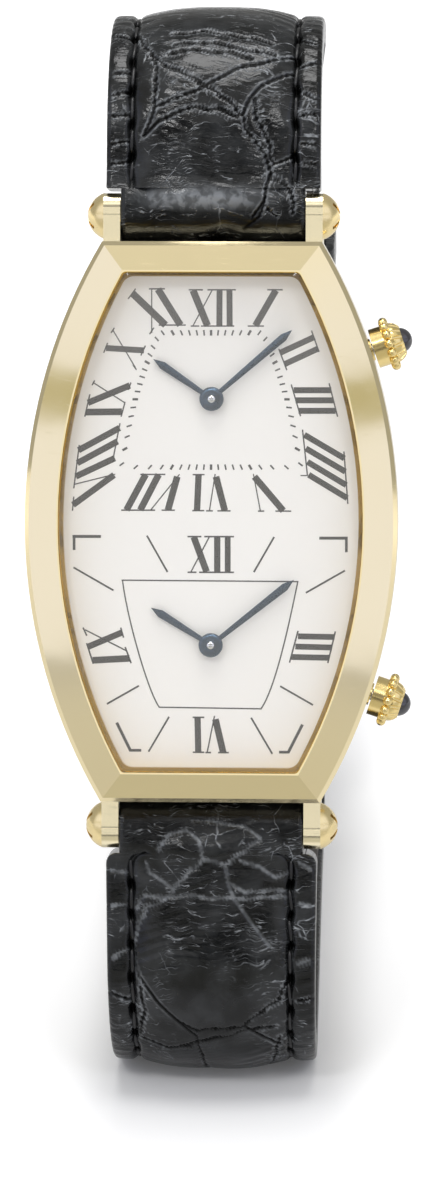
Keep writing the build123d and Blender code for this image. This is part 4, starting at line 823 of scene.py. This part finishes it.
def crease_lines(end):
    """The drawn creases as segments in (across, along), found on the strap's crown by projection.

    A point's height in the picture gives its length along the strap, and its sideways place there,
    less what the crown's depth moves it, gives its place across.
    """
    (origin, scale), lines = CREASES[end]
    s = np.linspace(-3.0, SEEN_TO[end] + 1.0, 800)
    y, z, angle = route(end, s)
    h = along(end, s, 1) + along(end, s, 2)
    crown = np.stack([0 * s, y + end * h * np.sin(angle), z + h * np.cos(angle)], -1)
    ahead = crown - CAMERA_DISTANCE * camera_back
    depth = -(ahead @ camera_back)
    seen_x = ahead @ camera_right / depth * CAMERA_DISTANCE
    seen_y = end * (ahead @ camera_top) / depth * CAMERA_DISTANCE
    segments = []
    for line in lines:
        points = np.asarray(line, float) / scale + origin
        points = (points - DIAL_PIXEL) * (PIXEL, -PIXEL)
        at = np.interp(end * points[:, 1], seen_y, s)
        x = (points[:, 0] - np.interp(at, s, seen_x)) / math.cos(CAMERA_SIDE)
        place = np.stack([x * np.interp(at, s, depth) / CAMERA_DISTANCE, at], -1)
        segments.append(np.concatenate([place[:-1], place[1:]], -1))
    return np.concatenate(segments)


def to_segments(x, s, segments):
    """Distance from each point to the nearest segment."""
    best = np.full(x.shape, 99.0)
    for x0, s0, x1, s1 in segments:
        dx, ds = x1 - x0, s1 - s0
        q = np.clip(((x - x0) * dx + (s - s0) * ds) / (dx * dx + ds * ds + 1e-9), 0, 1)
        best = np.minimum(best, np.hypot(x - x0 - q * dx, s - s0 - q * ds))
    return best


def to_cells(x, s, seeds):
    """Distance to the nearest border between two scales, which lie round seeds."""
    first = np.full(x.shape, 1e9)
    second = np.full(x.shape, 1e9)
    near = np.zeros(x.shape + (2,))
    next_near = np.zeros(x.shape + (2,))
    for seed in seeds:
        d = (x - seed[0]) ** 2 + (s - seed[1]) ** 2
        closer = d < first
        runner_up = (d < second) & ~closer
        second = np.where(closer, first, np.where(runner_up, d, second))
        next_near = np.where(closer[..., None], near, np.where(runner_up[..., None], seed, next_near))
        first = np.where(closer, d, first)
        near = np.where(closer[..., None], seed, near)
    return (second - first) / (2 * np.linalg.norm(next_near - near, axis=-1) + 1e-9)


def scale_seeds(end, length):
    """Seeds of the scales past the part that the photograph shows: rows, each shifted and jittered."""
    seeds = []
    for n, s in enumerate(np.arange(SEEN_TO[end] + 1.5, length + 6, 4.6)):
        for x in (-6.3, -3.2, 0.4, 3.6, 6.4):
            seeds.append((x + rng.uniform(-0.6, 0.6) + (0.8 if n % 2 else 0), s + rng.uniform(-0.9, 0.9)))
    return np.array(seeds)


STITCH = 2.2
CALM_AT = 11.5


def relief(end, s, x, width):
    """Height of the hide over its section, with masks: creases darkened as painted shade, pale lines painted
    as glints, and calm scales.

    Creases sink by depth * exp(-(distance / width)^2), and scales swell away from them.
    """
    far = smooth(s, SEEN_TO[end] - 0.5, SEEN_TO[end] + 1.0)
    warp = 0.18 * np.sin(2.1 * x + 1.7 * s) + 0.12 * np.sin(3.7 * s - 2.9 * x)
    knobs = 0.05 * np.sin(17.0 * s + 6.0 * x) + 0.04 * np.sin(23.0 * x - 9.0 * s)
    drawn = to_segments(x + 0.3 * warp + knobs, s + 0.3 * warp + knobs, crease_lines(end)) + 5.0 * far
    cells = to_cells(x + warp, s + warp, scale_seeds(end, lengths(end)[-1])) + 5.0 * (1 - far)
    d = np.minimum(drawn, cells)
    neck = smooth(s, -3.5, -2.0)
    net = (1 - smooth(s, 7.0, 10.0)) if end < 0 else 0 * s
    sunk = np.exp(-((d / 0.085) ** 2)) * neck
    swell = (1 - np.exp(-d / 0.8)) * neck
    # Painted highlights: a bright rim just beside each crease, and pale lines along the lower strap's net of
    # creases.
    beside = 0.7 * np.exp(-(((d - 0.17) / 0.07) ** 2)) * (1 - net) * (1 - far)
    glint = np.exp(-((d / 0.10) ** 2)) * net + beside
    edge = np.abs(np.abs(x) - (width / 2 - GROOVE_INSET) + 0.07 * np.sin(2.6 * s + 1.0))
    groove = np.exp(-((edge / 0.22) ** 2)) * smooth(s, -0.4, 0.8)
    hole = np.abs((s / STITCH + 0.5) % 1.0 - 0.5) * STITCH
    pit = np.exp(-((edge / 0.20) ** 2) - (hole / 0.34) ** 2) * smooth(s, -0.2, 0.8)
    wrinkle = 0.02 * np.sin(7.3 * s + 1.1 * x + 2.2 * np.sin(0.9 * x + 0.6 * s))
    wrinkle *= smooth(np.sin(0.31 * s + 0.5 * x + 1.0), 0.1, 0.9)
    height = -0.10 * sunk + 0.10 * swell - 0.28 * groove - 0.30 * pit + wrinkle * neck
    # Painted shade: a dark band across the neck, where the hide curves away under the case.
    shaded = (0.55 if end > 0 else 0.4) * np.exp(-(((s + 2.6) / 0.9) ** 2))
    # The crease mask: creases, the stitch groove and its pits, and that band, darkened as painted shade.
    crease_shade = np.clip(sunk * (1 - 0.75 * net) + 0.45 * groove + pit + shaded, 0, 1)
    calm = np.exp(-((x / 4.3) ** 4) - ((s - CALM_AT) / 5.2) ** 4) if end < 0 else 0 * height
    if end > 0:
        # Painted sheen: a pale crescent across the upper strap just above its neck.
        glint = glint + 0.9 * np.exp(-(((s + 0.9) / 0.75) ** 2) - ((x + 0.8) / 4.2) ** 4)
    return height, crease_shade, np.clip(glint * neck - crease_shade * (1 - net), 0, 1), calm


def stations(low, high, fine_to):
    """Lengths along the strap: closest at the shoulder's corners and wider past what is seen."""
    corner = SHOULDER_AT + np.array([-0.004, 0.0, 0.01, 0.04, 0.09, 0.16, 0.26, 0.4, 0.6, 0.8, 1.0])
    runs = [
        np.arange(low, SHOULDER_AT - 0.05, 0.09), corner, np.arange(SHOULDER_AT + 1.08, fine_to, 0.09),
        np.arange(fine_to, high, 0.4), [high],
    ]
    return np.unique(np.concatenate(runs))


EDGE_RADIUS, UNDER_RADIUS = 0.38, 0.2
POINT_RADIUS, POINT_LENGTH = 6.1, 5.0
HOLES, FIRST_HOLE, HOLE_PITCH, HOLE_DEPTH = 6, 9.0, 3.2, 1.35
HOLE_RIM = (0.62, 0.80)


def point_width(left):
    """Half width of the pointed end, at a length from its tip."""
    return np.sqrt(np.maximum(POINT_RADIUS**2 - (POINT_RADIUS - np.minimum(left, POINT_LENGTH)) ** 2, 1e-4))


def strap_mesh(name, end, body, node_name, tail, pointed):
    """Padded strap half: a section of top, rounded edges and underside, carried along the route.

    The top is the half thickness, a pad that rises as 1 - |x / groove|^2.6, and the hide's relief.
    At the bar the section follows a circle round it, and a pointed end narrows as a circle does.
    """
    s = stations(-SHOULDER - NECK_HALF + 0.01, tail, SEEN_TO[end])[:, None]
    corner = SHOULDER_CORNER[end]
    past = np.clip(s - SHOULDER_AT, 0, corner)
    width = along(end, np.maximum(s, 0), 0) - 2 * (corner - np.sqrt(corner**2 - (corner - past) ** 2))
    width = np.where(s < SHOULDER_AT, NECK_WIDTH, np.maximum(width, NECK_WIDTH))
    half = along(end, np.maximum(s, 0), 1)
    pad = along(end, np.maximum(s, 0), 2) * smooth(s, -2.4, 0.2)
    round_bar = np.sqrt(np.maximum(NECK_HALF**2 - np.minimum(s + SHOULDER, 0) ** 2, 1e-4))
    neck = 1 - smooth(s, -0.9, 0.9)
    half_top = half + (round_bar - half) * neck
    full = 1 - smooth(s, 1.3, 2.0)
    if pointed:
        left = lengths(end)[-1] - s
        width = np.where(left < POINT_LENGTH, 2 * np.minimum(point_width(left), width / 2), width)
    else:
        full = np.maximum(full, smooth(s, tail - 0.7, tail - 0.4))
    under = np.where(s < 0.4, -half_top, -half_top + LINING * (1 - full))
    edge_radius = np.minimum(EDGE_RADIUS, (half_top - under) * 0.45)
    flat = width / 2 - edge_radius
    spread = np.linspace(-1, 1, 165)[None, :]
    x_top = flat * spread
    groove_at = np.maximum(width / 2 - GROOVE_INSET, 1.0)
    rise = pad * np.maximum(1 - np.abs(x_top / groove_at) ** 2.6, 0)
    relief_height, crease_shade, glint, calm = relief(end, s + 0 * x_top, x_top, width)
    flange = 0.10 * np.clip(1 - ((np.abs(x_top) - (width / 2 - 0.95)) / 0.95) ** 2, 0, 1)
    h_top = half_top + rise + relief_height + flange * smooth(s, 0.2, 1.5) - 0.04
    for n in range(HOLES if pointed else 0):
        from_hole = np.hypot(x_top, s - (lengths(end)[-1] - FIRST_HOLE - HOLE_PITCH * n))
        h_top = h_top - HOLE_DEPTH * (1 - smooth(from_hole, *HOLE_RIM))
    quarter = np.linspace(0, math.pi / 2, 6)[1:][None, :]
    x_right = flat + edge_radius * np.sin(quarter)
    h_right = h_top[:, -1:] - edge_radius + edge_radius * np.cos(quarter)
    low_radius = np.minimum(UNDER_RADIUS, edge_radius)
    x_low = width / 2 - low_radius * (1 - np.cos(quarter))
    h_low = under + low_radius * (1 - np.sin(quarter))
    x_under = (width / 2 - low_radius) * np.linspace(1, -1, 9)[None, 1:-1]
    x_loop = np.concatenate([x_top, x_right, x_low, x_under, -x_low[:, ::-1], -x_right[:, ::-1]], 1)
    h_left = h_top[:, :1] - edge_radius + edge_radius * np.cos(quarter)
    h_loop = np.concatenate([
        h_top, h_right, h_low, under + 0 * x_under, h_low[:, ::-1], h_left[:, ::-1],
    ], 1)
    dent = 0.33 * np.exp(-(((x_loop - 0.7) / 0.9) ** 2)) * (end > 0)
    shifted = s + dent * np.clip((-SHOULDER - s) / NECK_HALF, 0, 1)
    points = lay(end, shifted, x_loop, h_loop)
    points[..., 2] = np.maximum(points[..., 2], 0.00002)
    masks = np.zeros((3, *x_loop.shape))
    masks[:, :, : crease_shade.shape[1]] = crease_shade, glint, calm
    places = np.stack([x_loop, s + 0 * x_loop, 0 * x_loop], -1).reshape(-1, 3)
    masks = masks.reshape(3, -1)
    chunks = [(points, tube_faces(*x_loop.shape))]
    if not pointed:
        lobes, lobe_values = buckle_lobes(end, tail)
        chunks += lobes
        places = np.concatenate([places, lobe_values])
        masks = np.concatenate([masks, np.zeros((3, len(lobe_values)))], 1)
    values = {"along": ("FLOAT_VECTOR", places)}
    values.update({key: ("FLOAT", mask) for key, mask in zip(("crease_shade", "glint", "calm"), masks)})
    made = new_piece(name, chunks, HIDE, body, values=values)
    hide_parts(node_name)
    return made


def rounded_box(width, low, high, radius, n=5):
    """Closed outline (x, h) of a box with rounded corners."""
    quarter = np.linspace(0, math.pi / 2, n)
    x, h = [], []
    for cx, ch, start in ((1, 1, 0), (-1, 1, 1), (-1, -1, 2), (1, -1, 3)):
        a = start * math.pi / 2 + quarter
        x.append(cx * (width / 2 - radius) + radius * np.cos(a))
        middle = (high - radius) if ch > 0 else (low + radius)
        h.append(middle + radius * np.sin(a))
    return np.concatenate(x), np.concatenate(h)


LOOP_AT, LOOP_RADIUS = 1.15, 1.1
TAIL_HALF, TONGUE_GAP = 6.5, 1.17


def box_rows(end, x, s, h):
    """Points of a tube of box sections along the strap, its faces, and its places over the hide."""
    s = np.broadcast_to(np.asarray(s)[:, None], x.shape)
    return (lay(end, s, x, h), tube_faces(*x.shape)), np.stack([x, s, 0 * x], -1)


def buckle_lobes(end, tail):
    """The two loops round the buckle's bar: a box section that ends in a half circle about it."""
    length = lengths(end)[-1]
    turned_round = length + LOOP_AT + LOOP_RADIUS * np.sin(np.linspace(0.15, 1.5, 9))
    s = np.concatenate([np.linspace(tail - 0.02, length + LOOP_AT, 8), turned_round])
    chunks, values = [], []
    for sign in (-1, 1):
        sections = []
        for here in s:
            past = max(here - length - LOOP_AT, 0.0)
            tall = 1.0 + 0.1 * smooth(here, tail, length + 0.5)
            if past:
                tall = math.sqrt(max(LOOP_RADIUS**2 - past**2, 0.01))
            sections.append(rounded_box(TAIL_HALF - TONGUE_GAP, -tall, tall, min(0.3, tall * 0.6)))
        x, h = np.array(sections).transpose(1, 0, 2)
        chunk, places = box_rows(end, x + sign * (TAIL_HALF + TONGUE_GAP) / 2, s, h)
        chunks.append(chunk)
        values.append(places.reshape(-1, 3))
    return chunks, np.concatenate(values)


upper_length = lengths(1)[-1]
lower_length = lengths(-1)[-1]
strap_mesh("upper_strap_hide", 1, "upper_strap", "upper_strap", upper_length - 0.7, False)
strap_mesh("lower_strap_hide", -1, "lower_strap", "lower_strap", lower_length - 0.01, True)


def lining_mesh(name, end, body, node_name, tail, pointed):
    """Lining: a thin sheet under the hide, with rounded edges."""
    stations_along = np.append(np.arange(1.75, tail, 0.4), tail)
    sections = []
    for here in stations_along:
        width = float(along(end, here, 0)) - 0.7
        left = lengths(end)[-1] - here
        if pointed and left < POINT_LENGTH:
            nose = math.sqrt(max(POINT_RADIUS**2 - (POINT_RADIUS - left) ** 2, 0.02))
            width = min(width, 2 * nose - 0.5)
        low = -float(along(end, here, 1))
        radius = 0.18 if width > 0.6 else 0.1
        sections.append(rounded_box(max(width, 0.4), low, low + LINING - 0.03, radius))
    x, h = np.array(sections).transpose(1, 0, 2)
    chunk, places = box_rows(end, x, stations_along, h)
    values = {"along": ("FLOAT_VECTOR", places), "crease_shade": ("FLOAT", 0 * x)}
    made = new_piece(name, [chunk], CALF, body, values=values)
    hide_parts(node_name)
    return made


lining_mesh("upper_lining_calf", 1, "upper_strap", "upper_lining", upper_length - 1.15, False)
lining_mesh("lower_lining_calf", -1, "lower_strap", "lower_lining", lower_length - 0.3, True)


def stitches(name, end, body, tail):
    """Waxed thread: short capsules that lie in both grooves, a little askew."""
    starts = np.arange(STITCH, tail, STITCH) - STITCH / 2
    u = np.linspace(-1, 1, 9)
    v = np.linspace(0, 2 * math.pi, 10, endpoint=False)
    chunks = []
    for side in (-1, 1):
        for at in starts:
            thick = 0.17 * np.sqrt(np.maximum(1 - u**4, 0.004))
            s = at + 0.80 * u[:, None] + 0 * v
            groove_at = along(end, at, 0) / 2 - GROOVE_INSET
            askew = rng.uniform(-0.05, 0.05) + 0.05
            x = side * groove_at + askew * u[:, None] + thick[:, None] * np.cos(v)
            h = along(end, at, 1) - 0.20 - 0.06 * u[:, None] ** 2 + thick[:, None] * np.sin(v)
            points = lay(end, s, x, h)
            points[..., 2] = np.maximum(points[..., 2], 0.00003)
            chunks.append((points, tube_faces(len(u), len(v))))
    return new_piece(name, chunks, THREAD, body)


stitches("upper_stitches", 1, "upper_strap", upper_length - 3.0)
stitches("lower_stitches", -1, "lower_strap", lower_length - 6.0)


KEEPER_THICKNESS, KEEPER_LENGTH, TAIL_WIDTH = 0.9, 3.0, 13.0


def keeper_mesh(name, body, node_name, place, air):
    """Keeper: a rounded strip of hide bent into a ring, its section carried round a rounded box."""
    half, tall = 1.0 + air, 2 * (1.0 + air) + 2.4
    thick = KEEPER_THICKNESS
    path = np.stack(rounded_box(
        TAIL_WIDTH + 2 * air + thick, -half - thick / 2, -half + tall + thick / 2, 0.75, n=7,
    ), -1)
    path_x, path_h = path.T
    tangent = np.roll(path, -1, 0) - np.roll(path, 1, 0)
    tangent /= np.linalg.norm(tangent, axis=1)[:, None]
    section_s, section_n = rounded_box(KEEPER_LENGTH, -thick / 2 + 0.01, thick / 2 - 0.01, 0.28, n=5)
    out = np.stack([tangent[:, 1], -tangent[:, 0]], -1)
    x = path_x[:, None] + out[:, :1] * section_n
    h = path_h[:, None] + out[:, 1:] * section_n
    s = upper_length - place + section_s[None, :] + 0 * x
    points = lay(1, s, x, h)
    rows, columns = x.shape
    index = np.arange(rows * columns).reshape(rows, columns)
    nxt = np.roll(index, -1, 0)
    faces = np.stack([index, np.roll(index, -1, 1), np.roll(nxt, -1, 1), nxt], -1).reshape(-1, 4)
    gone = np.cumsum(np.linalg.norm(np.diff(path, axis=0, prepend=path[:1]), axis=1))
    values = {
        "along": ("FLOAT_VECTOR", np.stack([gone[:, None] + 0 * x, s, 0 * x], -1)),
        "crease_shade": ("FLOAT", 0 * x),
    }
    made = new_piece(name, [(points, [faces])], HIDE, body, values=values)
    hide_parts(node_name)
    return made


keeper_mesh("fixed_keeper_hide", "upper_strap", "fixed_keeper", 5.5, 0.1)
keeper_mesh("free_keeper_hide", "free_keeper", "free_keeper", 14.0, 0.3)


# Floor, light and background


def rays_that_see(tree):
    """1 for the rays that see the background as it is: from the camera, off metal and through glass."""
    path = tree.nodes.new("ShaderNodeLightPath").outputs
    seen = math_node(tree, "MAXIMUM", path["Is Camera Ray"], path["Is Glossy Ray"])
    return math_node(tree, "MAXIMUM", seen, path["Is Transmission Ray"])


# Edges on the table in metres: where the card starts, and where the shadow's middle ends
CARD_EDGE = (-0.062, -0.046)
SHADOW_SIDE = (0.007, 0.012)
SHADOW_FRONT = (-0.056, -0.040)
TABLE_REACH = 4.0


def make_floor():
    """White table: satin, so that it mirrors the strap's foot softly, with some white of its own.

    It has less of that white where the watch's shadow lies. Metal sees a grey card on it, a hand's
    breadth ahead of the watch, which the camera doesn't.
    """
    made = bpy.data.materials.new("white_table")
    made.use_nodes = True
    tree = made.node_tree
    principled = tree.nodes["Principled BSDF"]
    across, ahead = add_node(tree, "ShaderNodeSeparateXYZ", Vector=object_point(tree)).outputs[:2]
    away = vector_math(tree, "LENGTH", object_point(tree))
    path = tree.nodes.new("ShaderNodeLightPath").outputs
    card = times(tree, ramp(tree, ahead, *CARD_EDGE, 1.0, 0.0), path["Is Glossy Ray"])
    table = blend_colour(tree, path["Is Glossy Ray"], (0.93, 0.93, 0.935, 1.0), (0.68, 0.68, 0.68, 1.0))
    colour = blend_colour(tree, card, table, (0.46, 0.45, 0.395, 1.0))
    tree.links.new(colour, principled.inputs["Base Color"])
    principled.inputs["Roughness"].default_value = 0.35
    principled.inputs["Emission Color"].default_value = (1.0, 1.0, 1.0, 1.0)
    beside = ramp(tree, math_node(tree, "ABSOLUTE", across), *SHADOW_SIDE)
    past_shadow = math_node(tree, "MAXIMUM", beside, ramp(tree, ahead, *SHADOW_FRONT, 1.0, 0.0))
    own = times(tree, ramp(tree, away, 0.08, 0.5, 0.05, 0.55), rays_that_see(tree))
    past_shadow = times(tree, past_shadow, path["Is Camera Ray"])
    own = math_node(tree, "MULTIPLY_ADD", past_shadow, 0.20, own)
    own = times(tree, own, math_node(tree, "SUBTRACT", 1.0, card))
    tree.links.new(own, principled.inputs["Emission Strength"])
    points = TABLE_REACH * np.array([(-1, -1, 0), (1, -1, 0), (1, 1, 0), (-1, 1, 0)], float)
    floor = new_piece("table_top", [(points, [[[0, 1, 2, 3]]])], made, None, smooth=False)


make_floor()


def softbox(name, across, up, size, watts, tall=None, distance=1.1):
    """A soft lamp that faces the watch from a direction over the dial."""
    data = bpy.data.lights.new(name, "AREA")
    data.shape = "RECTANGLE"
    data.size = size
    data.size_y = tall or size
    data.energy = watts
    made = bpy.data.objects.new(name, data)
    bpy.context.scene.collection.objects.link(made)
    direction = across * ACROSS + up * UP + math.sqrt(1 - across**2 - up**2) * OUT
    made.location = Vector(DIAL + distance * direction)
    made.rotation_mode = "QUATERNION"
    made.rotation_quaternion = Vector(-direction).to_track_quat("-Z", "Y")


softbox("left_softbox", -0.30, 0.50, 0.18, 1.5)
softbox("right_softbox", 0.32, 0.46, 0.16, 1.0)
softbox("overhead_softbox", 0.0, 0.965, 0.45, 6.0, tall=0.6)


def make_world():
    """White studio: grey ceiling, cool side walls, and dark flags above and below the camera.

    Each patch is a box in the direction's parts across and up the dial, in front of the dial, with
    soft edges and a colour. The camera sees plain white.
    """
    world = bpy.data.worlds.new("studio")
    bpy.context.scene.world = world
    world.use_nodes = True
    tree = world.node_tree
    tree.nodes.clear()
    direction = tree.nodes.new("ShaderNodeTexCoord").outputs["Generated"]

    def share(vector):
        """How far the direction lies along a vector."""
        return vector_math(tree, "DOT_PRODUCT", direction, tuple(vector))

    up, out, across = share(UP), share(OUT), share(ACROSS)
    front = ramp(tree, out, 0.05, 0.35)

    def patch(left, right, low, high, soft, top_soft=None):
        """1 inside a box of directions, and 0 outside it."""
        top_soft = top_soft or soft
        inside = times(tree, ramp(tree, across, left - soft, left), ramp(tree, up, low - soft, low))
        inside = times(tree, inside, ramp(tree, across, right, right + soft, 1.0, 0.0))
        inside = times(tree, inside, ramp(tree, up, high, high + top_soft, 1.0, 0.0))
        return times(tree, inside, front)

    light = blend_colour(tree, front, (0.42, 0.42, 0.41, 1.0), (0.99, 0.98, 0.965, 1.0))
    for place, colour in (
        ((-2.0, 2.0, 0.68, 2.0, 0.06), (0.765, 0.755, 0.72)),
        ((-2.0, -0.64, -0.9, 0.60, 0.12), (0.94, 0.975, 1.18)),
        ((0.64, 2.0, -0.9, 0.60, 0.12), (0.94, 0.975, 1.18)),
        ((-2.0, -0.60, 0.128, 0.184, 0.02, 0.006), (0.53, 0.505, 0.36)),
        ((0.60, 2.0, 0.128, 0.184, 0.02, 0.006), (0.53, 0.505, 0.36)),
        ((-0.44, 0.40, -0.36, -0.155, 0.03), (0.08, 0.08, 0.08)),
        ((-0.48, 0.48, 0.10, 0.34, 0.03), (0.22, 0.22, 0.22)),
    ):
        light = blend_colour(tree, patch(*place), light, (*colour, 1.0))
    shade = add_node(tree, "ShaderNodeBackground", Color=light, Strength=1.0)
    white = add_node(tree, "ShaderNodeBackground", Color=(1.0, 1.0, 1.0, 1.0), Strength=1.0)
    light_path = tree.nodes.new("ShaderNodeLightPath")
    mixed = tree.nodes.new("ShaderNodeMixShader")
    tree.links.new(light_path.outputs["Is Camera Ray"], mixed.inputs[0])
    tree.links.new(shade.outputs[0], mixed.inputs[1])
    tree.links.new(white.outputs[0], mixed.inputs[2])
    output = tree.nodes.new("ShaderNodeOutputWorld")
    tree.links.new(mixed.outputs[0], output.inputs[0])


make_world()
